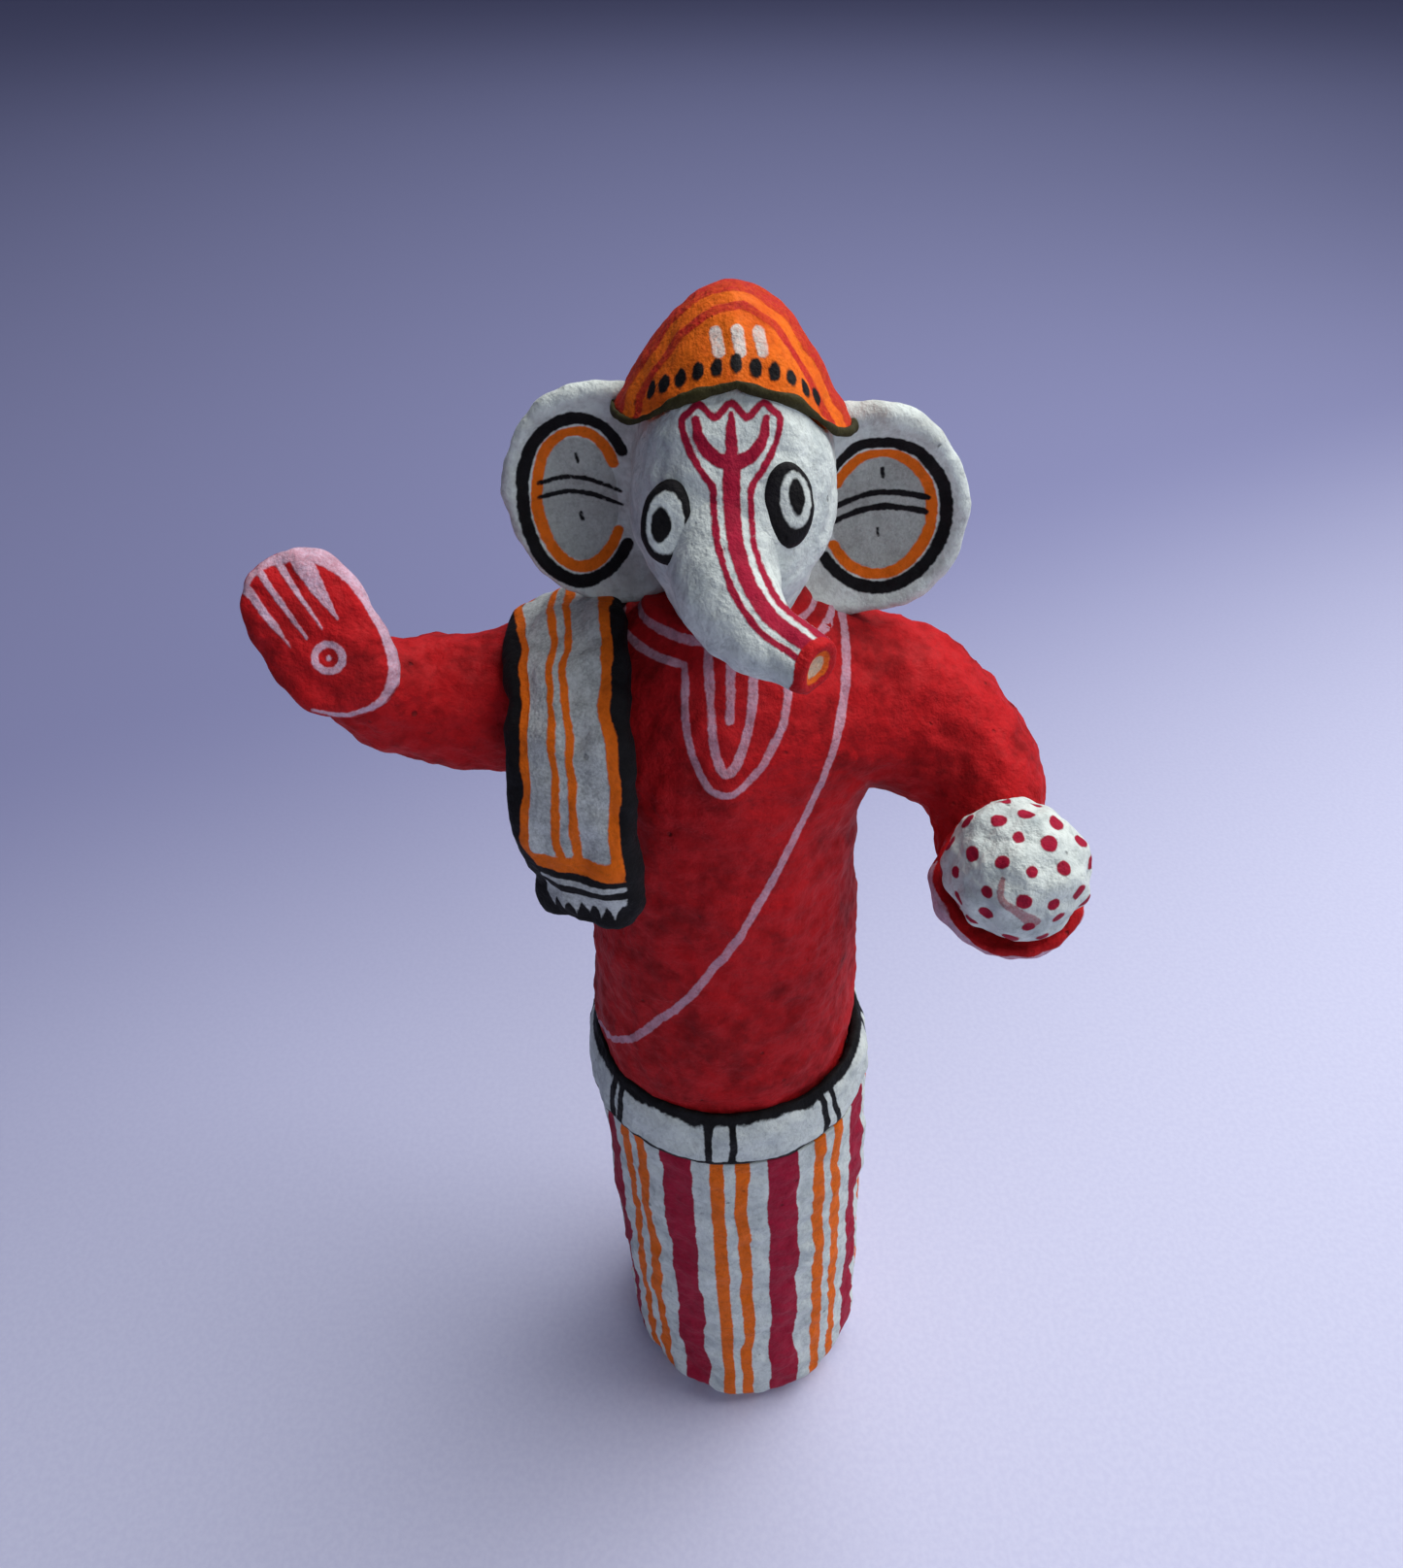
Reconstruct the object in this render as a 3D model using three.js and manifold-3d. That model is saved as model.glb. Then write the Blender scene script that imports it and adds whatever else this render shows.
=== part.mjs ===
// Papier-mache Ganesha idol: a round column figure with a dhoti, belt, kurta, scarf, crown,
// one raised hand and one hand that holds a sweet. Millimetres, +Z up, the figure looks
// along -Y, its right hand is at -X. The origin is the middle of the body axis on the table.
import * as THREE from "three";
import { mergeVertices } from "three/addons/utils/BufferGeometryUtils.js";
import Module from "manifold-3d";

const wasm = await Module();
wasm.setup();

// ---- driving dimensions -------------------------------------------------------------
const GAP = 0.3; // glue line between neighbouring pieces
const ROUND = 36; // sides of a body of revolution
const FINE = 20; // sides of a small round piece

const FOOT_RADIUS = 27.2;
const FOOT_ROUNDING = 9;
const FOOT_SHIFT = 4.1; // how far the hand-built column wanders to +X at its foot
const HIP_SHIFT = 1;
const KURTA_SHIFT = -0.7;
const HIP_RADIUS = 27.6;
const WAIST_Z = 101; // lower edge of the belt
const BELT_RADIUS = 28.3;
const BELT_TOP_Z = 114;
const HEM_RADIUS = 24.9; // the kurta where it enters the belt
const NECK_Z = 208;

const TUBE_RADIUS = 19; // rolled card core
const TUBE_WALL = 2.2;
const TUBE_Z0 = 6;
const TUBE_Z1 = 184;
const WEIGHT_HEIGHT = 26;
const TUBE_CAP_HEIGHT = 7;
const DOWEL_RADIUS = 3.2;
const DOWEL_TOP_Z = 226;
const WIRE_RADIUS = 0.9;

const HEAD_CENTRE = new THREE.Vector3(0.9, -4, 223.3);
const HEAD_RADII = new THREE.Vector3(14, 18, 23.4);
const HEAD_POWER = 2.4; // above 2 the ball of the head turns a little square
const CHIN_TAPER = [0.55, 0.66]; // share of its width the head loses at the chin, right and left
const CHIN_RETREAT = 0.36; // share of its depth in front that the head loses at the chin
const HEAD_CORE_RADIUS = 9.5;

const CROWN_CENTRE = new THREE.Vector2(0.9, -1.3);
const CROWN_RADII = new THREE.Vector2(16.2, 14.7);
const CROWN_FLOOR_Z = 236;
// Height of the crown's lower edge, by degrees round from the front.
const CROWN_EDGE = [
  [0, 244.7], [22, 242.6], [36, 240.2], [46, 238.4], [56, 237], [70, 236.2], [90, 235.6],
  [135, 235.6], [180, 236],
];
const CROWN_TOP_Z = 253;
const TRIM_RADIUS = 0.85;

const EAR_DEPTH = 2.8;
const EAR_CARD_THICKNESS = 0.6;
const EAR_CARD_REACH = 0.6; // size of the card as a share of the ear
// corners: [degrees round from the figure's left, how much fuller the outline is there].
const EARS = {
  right: {
    x: -17.4, y: 1, z: 222.9, halfWidth: 14.2, halfHeight: 16.2,
    corners: [[50, 0.12], [132, 0.06], [215, -0.04], [300, 0.06]],
  },
  left: {
    x: 20, y: 1, z: 220, halfWidth: 14.8, halfHeight: 15.8,
    corners: [[128, 0.05], [318, 0.05], [240, 0.08]],
  },
};
const EYES = {
  right: { x: -8.1, y: -21.9, z: 229.5, turn: -0.3 },
  left: { x: 7.3, y: -21.2, z: 231.5, turn: 0.3 },
};
const EYE_HALF_WIDTH = 3.4;
const EYE_HALF_HEIGHT = 5.2;
const EYE_UPTURN = 0.34; // how far the eyes look up

const TRUNK_PATH = [
  [0.2, -13, 227.5],
  [-0.8, -19.6, 225.6],
  [-0.9, -25.2, 221.8],
  [2.6, -29.9, 218.7],
  [6.8, -32.6, 217.2],
  [10.2, -35.5, 216.6],
];
const TRUNK_RADII = [4.6, 5.6, 6.3, 5.5, 4.4, 3.6];

const RIGHT_ARM_PATH = [
  [-13, 0, 188.5],
  [-27, 0, 189.3],
  [-40, -1, 189.8],
  [-49, -4, 192.6],
  [-54.4, -8.5, 198.6],
  [-57, -12, 206.5],
];
const RIGHT_ARM_RADII = [12.6, 11.8, 11, 9.2, 7.2, 5.6];
const LEFT_ARM_PATH = [
  [13, 0, 189.5],
  [24, 0, 188.4],
  [32.2, -2, 184.8],
  [38.6, -6, 179.4],
  [41.6, -12, 173.8],
  [41.6, -20, 168.4],
];
const LEFT_ARM_RADII = [14, 13.2, 12.4, 11, 9.4, 8];

const RIGHT_PALM = {
  centre: new THREE.Vector3(-56.8, -15, 210.3),
  normal: new THREE.Vector3(0.15, -0.85, 0.5),
  fingers: new THREE.Vector3(-0.5, 0.37, 0.78),
  halfLength: 12.5,
  halfWidth: 8.8,
  thickness: 6,
};
const SWEET = { centre: new THREE.Vector3(41.6, -30, 177.5), radius: 10.5 };
const LEFT_PALM = {
  normal: new THREE.Vector3(-0.06, -0.5, 0.86),
  radius: 11.2,
  rimHeight: 3.2,
  thickness: 5,
};

const SCARF_THICKNESS = 5;
const SCARF_HALF_WIDTH = 9.7;
const SCARF_TURN = 0.41; // the hanging ends face this far round to the figure's right
const SCARF_TOP_TILT = 0.36;
const SCARF_HANG = 22; // length of the front end that drifts towards the middle of the body
const SCARF_DRIFT = 1.7;
const SCARF_PATH = [
  [-22.3, -21.2, 164.5],
  [-22.3, -21.4, 182],
  [-22.4, -18, 193.6],
  [-23, -9, 199.4],
  [-23.6, -1, 200.8],
  [-23.4, 7, 199],
  [-22.8, 13, 192.8],
  [-22.3, 15.8, 182],
  [-22.3, 16.8, 168],
];
const SCARF_STEPS = 20;

// ---- solids from geometry -----------------------------------------------------------
function solidOf(geometry) {
  const bare = geometry.clone();
  bare.deleteAttribute("normal");
  bare.deleteAttribute("uv");
  const merged = mergeVertices(bare, 1e-4);
  const vertProperties = new Float32Array(merged.attributes.position.array);
  const triVerts = new Uint32Array(merged.index.array);
  return new wasm.Manifold(new wasm.Mesh({ numProp: 3, vertProperties, triVerts }));
}

function geometryOf(solid) {
  const mesh = solid.getMesh();
  const geometry = new THREE.BufferGeometry();
  geometry.setAttribute("position", new THREE.BufferAttribute(mesh.vertProperties, 3));
  geometry.setIndex(new THREE.BufferAttribute(mesh.triVerts, 1));
  geometry.computeVertexNormals();
  return geometry;
}

// Moves every vertex of a geometry by a function of the vertex.
function reshape(geometry, move) {
  const position = geometry.attributes.position;
  const point = new THREE.Vector3();
  for (let i = 0; i < position.count; i += 1) {
    point.fromBufferAttribute(position, i);
    move(point);
    position.setXYZ(i, point.x, point.y, point.z);
  }
  return geometry;
}

// A body of revolution about +Z. The outline runs from the bottom of the axis, out and
// up to the top of the axis, as [radius, height] pairs.
function turned(outline, sides = ROUND) {
  const points = outline.map(([radius, height]) => new THREE.Vector2(radius, height));
  return new THREE.LatheGeometry(points, sides).rotateX(Math.PI / 2);
}

function rod(radius, z0, z1, sides = FINE) {
  return turned([[0, z0], [radius, z0], [radius, z1], [0, z1]], sides);
}

function curveThrough(points) {
  return new THREE.CatmullRomCurve3(points.map((p) => new THREE.Vector3(...p)));
}

// Reads a value between evenly spaced stations.
function blend(values, t) {
  const place = Math.min(Math.max(t, 0), 1) * (values.length - 1);
  const low = Math.min(Math.floor(place), values.length - 2);
  return THREE.MathUtils.lerp(values[low], values[low + 1], place - low);
}

// A round limb along a smooth path whose radius changes from station to station.
function limb(path, radii, grow = 0, steps = 11, sides = 14) {
  const curve = curveThrough(path);
  const frames = curve.computeFrenetFrames(steps, false);
  const centres = [];
  for (let i = 0; i <= steps; i += 1) centres.push(curve.getPoint(i / steps));
  return reshape(new THREE.CylinderGeometry(1, 1, 1, sides, steps), (p) => {
    const step = Math.round((p.y + 0.5) * steps);
    const radius = blend(radii, step / steps) + grow;
    const across = frames.normals[step].clone().multiplyScalar(p.x * radius);
    const along = frames.binormals[step].clone().multiplyScalar(-p.z * radius);
    const reach = step === 0 ? -grow : step === steps ? grow : 0;
    const end = frames.tangents[step].clone().multiplyScalar(reach);
    p.copy(centres[step]).add(across).add(along).add(end);
  });
}

// A wire along part of a limb's middle line: an extruded polygon.
function wire(path, from, to, radius) {
  const line = curveThrough(path);
  const points = [];
  for (let i = 0; i <= 12; i += 1) {
    points.push(line.getPoint(THREE.MathUtils.lerp(from, to, i / 12)));
  }
  const section = new THREE.Shape();
  section.absarc(0, 0, radius, 0, 2 * Math.PI, false);
  return new THREE.ExtrudeGeometry(section, {
    steps: 12,
    curveSegments: 4,
    bevelEnabled: false,
    extrudePath: new THREE.CatmullRomCurve3(points),
  });
}

// Stands a geometry made about +Z on a point, with its +Z along a direction and its +Y
// as near as can be to another.
function stand(geometry, centre, direction, upward) {
  const z = direction.clone().normalize();
  const x = new THREE.Vector3().crossVectors(upward, z).normalize();
  const y = new THREE.Vector3().crossVectors(z, x);
  return geometry.applyMatrix4(new THREE.Matrix4().makeBasis(x, y, z).setPosition(centre));
}

// ---- shapes, each with its outer size grown by a clearance ------------------------
function columnShift(z) {
  return THREE.MathUtils.lerp(FOOT_SHIFT, HIP_SHIFT, z / WAIST_Z);
}

function dhotiShape() {
  const outline = [[0, 0], [FOOT_RADIUS - FOOT_ROUNDING, 0]];
  const corner = 5;
  for (let i = 1; i <= corner; i += 1) {
    const a = (Math.PI / 2) * (i / corner);
    const radius = FOOT_RADIUS - FOOT_ROUNDING * (1 - Math.sin(a));
    outline.push([radius, FOOT_ROUNDING * (1 - Math.cos(a))]);
  }
  outline.push([HIP_RADIUS, 50], [HIP_RADIUS, 78], [HIP_RADIUS - 0.3, WAIST_Z - GAP]);
  outline.push([0, WAIST_Z - GAP]);
  return reshape(turned(outline), (p) => {
    p.x += columnShift(p.z);
  });
}

function kurtaShape(grow = 0) {
  const outline = [
    [HEM_RADIUS - 0.6, WAIST_Z], [HEM_RADIUS, BELT_TOP_Z], [25.3, 121], [24.3, 140],
    [23, 158], [22.5, 172], [22.6, 183], [21.6, 191], [19.2, 197.5], [15.6, 202.4],
    [12.6, 205.4], [11.6, NECK_Z],
  ];
  const grown = outline.map(([radius, z]) => [radius + grow, z]);
  grown[0][1] -= grow;
  grown[grown.length - 1][1] += grow;
  const bottom = [0, grown[0][1]];
  const top = [0, grown[grown.length - 1][1]];
  return turned([bottom, ...grown, top]).translate(KURTA_SHIFT, 0, 0);
}

function beltShape() {
  const inner = HEM_RADIUS + GAP - KURTA_SHIFT;
  const outer = BELT_RADIUS;
  const section = [
    [inner, WAIST_Z], [outer - 0.8, WAIST_Z], [outer, WAIST_Z + 1.4],
    [outer - 0.5, BELT_TOP_Z - 4], [outer - 1.6, BELT_TOP_Z - 1.4], [inner + 1, BELT_TOP_Z],
    [inner, BELT_TOP_Z], [inner, WAIST_Z],
  ];
  return turned(section);
}

// A boxy ball that narrows and falls back from its middle down to the chin.
function headShape(grow = 0) {
  const power = 2 / HEAD_POWER;
  return reshape(new THREE.SphereGeometry(1, 24, 16), (p) => {
    const boxed = [p.x, p.y, p.z].map((v) => Math.sign(v) * Math.abs(v) ** power);
    p.set(...boxed);
    const below = Math.max(0, -p.z);
    p.x *= 1 - CHIN_TAPER[p.x < 0 ? 0 : 1] * below;
    p.y *= p.y < 0 ? 1 - CHIN_RETREAT * below : 1;
    p.multiply(HEAD_RADII.clone().addScalar(grow)).add(HEAD_CENTRE);
  });
}

// The crown's lower edge: low at the sides, arched up over the forehead, and a little lower
// on the figure's left.
function crownRim(angle) {
  const across = Math.cos(angle);
  const fromFront = THREE.MathUtils.radToDeg(Math.acos(-Math.sin(angle)));
  const next = Math.max(1, CROWN_EDGE.findIndex(([degrees]) => degrees >= fromFront - 1e-6));
  const [low, high] = [CROWN_EDGE[next - 1], CROWN_EDGE[next]];
  const height = THREE.MathUtils.mapLinear(fromFront, low[0], high[0], low[1], high[1]);
  return new THREE.Vector3(
    CROWN_CENTRE.x + CROWN_RADII.x * across,
    CROWN_CENTRE.y + CROWN_RADII.y * Math.sin(angle),
    height - 0.5 * across - 1.2 * across ** 5,
  );
}

// A dome that rises from the rim to a rounded peak, closed by a flat underside.
function crownShape(grow = 0) {
  const dome = new THREE.CylinderGeometry(0.0001, 1, 1, 28, 6);
  return mergedTop(reshape(dome, (p) => {
    const angle = Math.atan2(-p.z, p.x);
    const radius = Math.hypot(p.x, p.z);
    const rim = crownRim(angle);
    if (p.y < -0.499 && radius < 0.5) {
      p.set(CROWN_CENTRE.x, CROWN_CENTRE.y, CROWN_FLOOR_Z - grow);
      return;
    }
    const rise = (p.y + 0.5) ** 0.8;
    const reach = 1 - rise;
    const height = rim.z - grow + (CROWN_TOP_Z + 2 * grow - rim.z) * (1 - reach ** 1.8);
    const spread = reach * (1 + grow / CROWN_RADII.y);
    p.set(
      CROWN_CENTRE.x + (rim.x - CROWN_CENTRE.x) * spread,
      CROWN_CENTRE.y + (rim.y - CROWN_CENTRE.y) * spread,
      height,
    );
  }));
}

// Pulls the tiny top ring of a dome onto the axis so that the dome closes in a point.
function mergedTop(geometry) {
  geometry.computeBoundingBox();
  const top = geometry.boundingBox.max.z;
  return reshape(geometry, (p) => {
    if (top - p.z < 1e-3) p.set(CROWN_CENTRE.x, CROWN_CENTRE.y, top);
  });
}

function trimShape(grow = 0) {
  const rim = [];
  for (let i = 0; i < 24; i += 1) {
    rim.push(crownRim((i / 24) * 2 * Math.PI));
  }
  const section = new THREE.Shape();
  section.absarc(0, 0, TRIM_RADIUS + grow, 0, 2 * Math.PI, false);
  return new THREE.ExtrudeGeometry(section, {
    steps: 40,
    curveSegments: 4,
    bevelEnabled: false,
    extrudePath: new THREE.CatmullRomCurve3(rim, true),
  });
}

// A dish that opens towards -Y, with a thick rolled rim.
function earShape(ear, grow = 0) {
  const d = EAR_DEPTH;
  const outline = [
    [0, -1.1 * d], [0.6, -1 * d], [0.9, -0.55 * d], [1, 0.1 * d], [0.985, 0.6 * d],
    [0.9, 0.85 * d], [0.8, 0.45 * d], [0.5, -0.1 * d], [0, -0.25 * d],
  ];
  const grown = outline.map(([r, h]) => [r, h + Math.sign(h) * grow]);
  const dish = reshape(turned(grown, 28), (p) => {
    const turn = Math.atan2(p.y, p.x);
    let fullness = 1;
    for (const [degrees, amount] of ear.corners) {
      fullness += amount * Math.max(0, Math.cos(turn - THREE.MathUtils.degToRad(degrees))) ** 5;
    }
    p.x *= fullness;
    p.y *= fullness;
  });
  dish.scale(ear.halfWidth + grow, ear.halfHeight + grow, 1);
  dish.rotateX(Math.PI / 2);
  return dish.translate(ear.x, ear.y, ear.z);
}

function earCardShape(ear, grow = 0) {
  const half = EAR_CARD_THICKNESS / 2 + grow;
  const card = rod(1, -half, half, 28);
  card.scale(EAR_CARD_REACH * ear.halfWidth + grow, EAR_CARD_REACH * ear.halfHeight + grow, 1);
  card.rotateX(Math.PI / 2);
  return card.translate(ear.x, ear.y + 0.6 * EAR_DEPTH, ear.z);
}

function eyeShape(eye) {
  const boss = turned([[0, -8], [0.94, -8], [1, -0.8], [0.88, 0], [0, 0.3]], 20);
  boss.scale(EYE_HALF_WIDTH, EYE_HALF_HEIGHT, 1);
  const outward = new THREE.Vector3(Math.sin(eye.turn), -Math.cos(eye.turn), EYE_UPTURN);
  const centre = new THREE.Vector3(eye.x, eye.y, eye.z);
  return stand(boss, centre, outward, new THREE.Vector3(0, 0, 1));
}

function trunkShape(grow = 0) {
  return limb(TRUNK_PATH, TRUNK_RADII, grow, 13, 16);
}

function rightHandShape(grow = 0) {
  const half = RIGHT_PALM.thickness / 2;
  const pad = turned([[0, -half], [0.72, -half], [1, -0.4], [1, 0.8], [0.86, half], [0, half]], 24);
  pad.scale(RIGHT_PALM.halfWidth + grow, RIGHT_PALM.halfLength + grow, 1 + grow / half);
  return stand(pad, RIGHT_PALM.centre, RIGHT_PALM.normal, RIGHT_PALM.fingers);
}

function sweetShape(grow = 0) {
  const ball = new THREE.SphereGeometry(SWEET.radius + grow, 20, 14);
  return ball.translate(...SWEET.centre.toArray());
}

// A shallow cup under the sweet.
function leftHandShape(grow = 0) {
  const { radius, thickness, rimHeight } = LEFT_PALM;
  const cup = turned(
    [[0, -thickness - grow], [0.7 * radius, -0.9 * thickness - grow], [radius + grow, 0],
      [radius + grow, rimHeight + grow], [0, rimHeight + grow]],
    24,
  );
  const normal = LEFT_PALM.normal.clone().normalize();
  const seat = SWEET.centre.clone().addScaledVector(normal, -SWEET.radius + 1.2);
  return stand(cup, seat, normal, new THREE.Vector3(0, 1, 0));
}

// A flat band over the shoulder: its middle follows a path and its width turns with it.
function scarfShape() {
  const curve = curveThrough(SCARF_PATH);
  const slab = new THREE.BoxGeometry(2, 1, 1, 5, 1, SCARF_STEPS);
  return reshape(slab, (p) => {
    const t = THREE.MathUtils.clamp(p.z + 0.5, 0, 1);
    const turn = SCARF_TURN * Math.cos(Math.PI * t);
    const overTop = Math.sin(Math.PI * t) ** 4;
    const across = new THREE.Vector3(Math.cos(turn), -Math.sin(turn), SCARF_TOP_TILT * overTop);
    across.normalize();
    const outward = new THREE.Vector3().crossVectors(curve.getTangentAt(t), across).normalize();
    const bulge = 0.9 * (1 - p.x * p.x);
    const depth = (0.5 - p.y) * SCARF_THICKNESS - bulge;
    const centre = curve.getPointAt(t);
    const hang = Math.max(0, 1 - (t * curve.getLength()) / SCARF_HANG);
    const aside = p.x * SCARF_HALF_WIDTH * (1 - 0.1 * hang) + SCARF_DRIFT * hang;
    centre.addScaledVector(across, aside).addScaledVector(outward, -depth);
    p.copy(centre);
  });
}

// ---- the pieces ---------------------------------------------------------------------
const idol = new THREE.Group();

function add(name, solid, colour, roughness) {
  const material = new THREE.MeshStandardMaterial({ color: colour, roughness, metalness: 0 });
  const mesh = new THREE.Mesh(geometryOf(solid), material);
  mesh.name = name;
  idol.add(mesh);
}

const PAINT = 0.75;
const WHITE = 0xd9e0e0;
const RED = 0xb5181f;
const CRIMSON = 0xa8123c;
const ORANGE = 0xe07a14;
const BLACK = 0x101014;
const CARD = 0xa08560;
const PLASTER = 0xcfc9bd;
const BAMBOO = 0xc9a869;
const STEEL = 0x8d9094;
const NEWSPRINT = 0xb9b4a8;

// Inside the column: card tube, weight, cap and neck stick.
const tubeBore = TUBE_RADIUS - TUBE_WALL;
const capZ0 = TUBE_Z1 - TUBE_CAP_HEIGHT;
const dowel = solidOf(rod(DOWEL_RADIUS, capZ0, DOWEL_TOP_Z));
const dowelHole = solidOf(rod(DOWEL_RADIUS + GAP, capZ0 - GAP, DOWEL_TOP_Z + GAP));
const tube = solidOf(turned([
  [tubeBore, TUBE_Z0], [TUBE_RADIUS, TUBE_Z0], [TUBE_RADIUS, TUBE_Z1], [tubeBore, TUBE_Z1],
  [tubeBore, TUBE_Z0],
], 32));
const tubeSpace = solidOf(rod(TUBE_RADIUS + GAP, TUBE_Z0 - GAP, TUBE_Z1 + GAP, 32));
const plugRadius = tubeBore - GAP;
const weight = solidOf(rod(plugRadius, TUBE_Z0, TUBE_Z0 + WEIGHT_HEIGHT, 32));
const tubeCap = solidOf(rod(plugRadius, capZ0, TUBE_Z1, 32)).subtract(dowelHole);

// Wires that stiffen the limbs, and the holes they lie in, as shares of the limb's length.
// Each hole starts at the limb's open root and runs on a little past the wire.
function limbWire(path, root, from, to) {
  return {
    solid: solidOf(wire(path, from, to, WIRE_RADIUS)),
    hole: solidOf(wire(path, root, to + 0.02, WIRE_RADIUS + GAP)),
  };
}
const rightArmWire = limbWire(RIGHT_ARM_PATH, 0.1, 0.28, 0.8);
const leftArmWire = limbWire(LEFT_ARM_PATH, 0.1, 0.26, 0.78);
const trunkWire = limbWire(TRUNK_PATH, 0, 0.07, 0.85);

// Body.
const kurtaCut = solidOf(kurtaShape(GAP));
const dhoti = solidOf(dhotiShape()).subtract(tubeSpace);
const kurta = solidOf(kurtaShape()).subtract(tubeSpace).subtract(dowelHole);
const belt = solidOf(beltShape());

// Arms, hands and the sweet.
const sweetCut = solidOf(sweetShape(GAP));
const rightHand = solidOf(rightHandShape());
const leftHand = solidOf(leftHandShape()).subtract(sweetCut);
const rightArm = solidOf(limb(RIGHT_ARM_PATH, RIGHT_ARM_RADII))
  .subtract(kurtaCut)
  .subtract(solidOf(rightHandShape(GAP)))
  .subtract(rightArmWire.hole);
const leftArm = solidOf(limb(LEFT_ARM_PATH, LEFT_ARM_RADII, 0, 14))
  .subtract(kurtaCut)
  .subtract(solidOf(leftHandShape(GAP)))
  .subtract(sweetCut)
  .subtract(leftArmWire.hole);

// Head, face, ears and crown.
const headCut = solidOf(headShape(GAP));
const headCore = solidOf(new THREE.SphereGeometry(HEAD_CORE_RADIUS, 20, 12)
  .translate(...HEAD_CENTRE.toArray())).subtract(dowelHole);
const headCoreSpace = solidOf(new THREE.SphereGeometry(HEAD_CORE_RADIUS + GAP, 20, 12)
  .translate(...HEAD_CENTRE.toArray()));
const head = solidOf(headShape())
  .subtract(kurtaCut)
  .subtract(headCoreSpace)
  .subtract(dowelHole)
  .subtract(trunkWire.hole);
const trunk = solidOf(trunkShape()).subtract(headCut).subtract(trunkWire.hole);
const trunkCut = solidOf(trunkShape(GAP));
const trimCut = solidOf(trimShape(GAP));
const crownCut = solidOf(crownShape(GAP));
const crown = solidOf(crownShape()).subtract(headCut).subtract(trimCut);
const trim = solidOf(trimShape()).subtract(headCut);

function ear(side) {
  return solidOf(earShape(EARS[side]))
    .subtract(headCut)
    .subtract(kurtaCut)
    .subtract(crownCut)
    .subtract(trimCut)
    .subtract(solidOf(earCardShape(EARS[side], GAP)));
}

function earCard(side) {
  return solidOf(earCardShape(EARS[side])).subtract(headCut);
}

function eye(side) {
  return solidOf(eyeShape(EYES[side])).subtract(headCut).subtract(trunkCut);
}

// The scarf lies on the shoulder, so it makes room for everything under it.
const scarf = solidOf(scarfShape())
  .subtract(kurtaCut)
  .subtract(solidOf(limb(RIGHT_ARM_PATH, RIGHT_ARM_RADII, GAP)))
  .subtract(headCut)
  .subtract(solidOf(earShape(EARS.right, GAP)));

add("dhoti", dhoti, CRIMSON, PAINT);
add("belt", belt, WHITE, PAINT);
add("kurta", kurta, RED, PAINT);
add("core_tube", tube, CARD, 0.9);
add("base_weight", weight, PLASTER, 0.95);
add("tube_cap", tubeCap, CARD, 0.9);
add("neck_dowel", dowel, BAMBOO, 0.6);
add("head", head, WHITE, PAINT);
add("head_core", headCore, NEWSPRINT, 0.95);
add("trunk", trunk, WHITE, PAINT);
add("trunk_wire", trunkWire.solid, STEEL, 0.4);
add("crown", crown, ORANGE, PAINT);
add("crown_trim", trim, BLACK, PAINT);
for (const side of ["right", "left"]) {
  add(side + "_ear", ear(side), WHITE, PAINT);
  add(side + "_ear_card", earCard(side), CARD, 0.9);
  add(side + "_eye", eye(side), BLACK, PAINT);
}
add("right_arm", rightArm, RED, PAINT);
add("right_arm_wire", rightArmWire.solid, STEEL, 0.4);
add("right_hand", rightHand, RED, PAINT);
add("left_arm", leftArm, RED, PAINT);
add("left_arm_wire", leftArmWire.solid, STEEL, 0.4);
add("left_hand", leftHand, RED, PAINT);
add("sweet", solidOf(sweetShape()), WHITE, PAINT);
add("scarf", scarf, WHITE, PAINT);

export default idol;
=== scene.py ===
"""Looks of the papier-mache Ganesha idol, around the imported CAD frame.

Every visible piece is a fine mesh worked out in millimetres: a base form, soft joints where
pieces meet, and hand-made lumps. Painted lines are signed distances kept on the vertices
(negative inside the paint), which the materials turn into brush strokes.
"""

import math

import bpy
import numpy as np
from mathutils import Matrix, Vector


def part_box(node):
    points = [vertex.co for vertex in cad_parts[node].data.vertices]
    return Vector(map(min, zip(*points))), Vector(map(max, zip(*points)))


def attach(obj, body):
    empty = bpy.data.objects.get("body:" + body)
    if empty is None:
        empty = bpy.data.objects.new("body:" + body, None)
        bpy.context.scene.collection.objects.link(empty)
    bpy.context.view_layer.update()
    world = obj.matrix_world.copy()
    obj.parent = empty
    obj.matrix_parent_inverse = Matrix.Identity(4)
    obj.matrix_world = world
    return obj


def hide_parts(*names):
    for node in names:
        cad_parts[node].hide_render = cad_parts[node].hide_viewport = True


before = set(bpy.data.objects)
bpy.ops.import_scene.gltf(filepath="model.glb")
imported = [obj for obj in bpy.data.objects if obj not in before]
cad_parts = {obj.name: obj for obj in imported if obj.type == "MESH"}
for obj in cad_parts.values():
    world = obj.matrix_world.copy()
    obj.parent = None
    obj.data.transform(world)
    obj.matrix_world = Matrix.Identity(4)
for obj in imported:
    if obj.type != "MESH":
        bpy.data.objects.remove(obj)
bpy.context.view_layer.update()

# ---- driving dimensions, in millimetres -------------------------------------------------
MM = 0.001
STEP = 0.62  # spacing of the vertices
FINE_STEP = 0.42
FAR = 9.0  # a distance that is surely outside any paint


def node_box(name):
    """Lowest and highest corner of a CAD node in millimetres."""
    low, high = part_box(name)
    return np.array(low) / MM, np.array(high) / MM


DHOTI_HIGH = node_box("dhoti")[1]
BELT_LOW, BELT_HIGH = node_box("belt")
KURTA_LOW, KURTA_HIGH = node_box("kurta")
SWEET_LOW, SWEET_HIGH = node_box("sweet")

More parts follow.
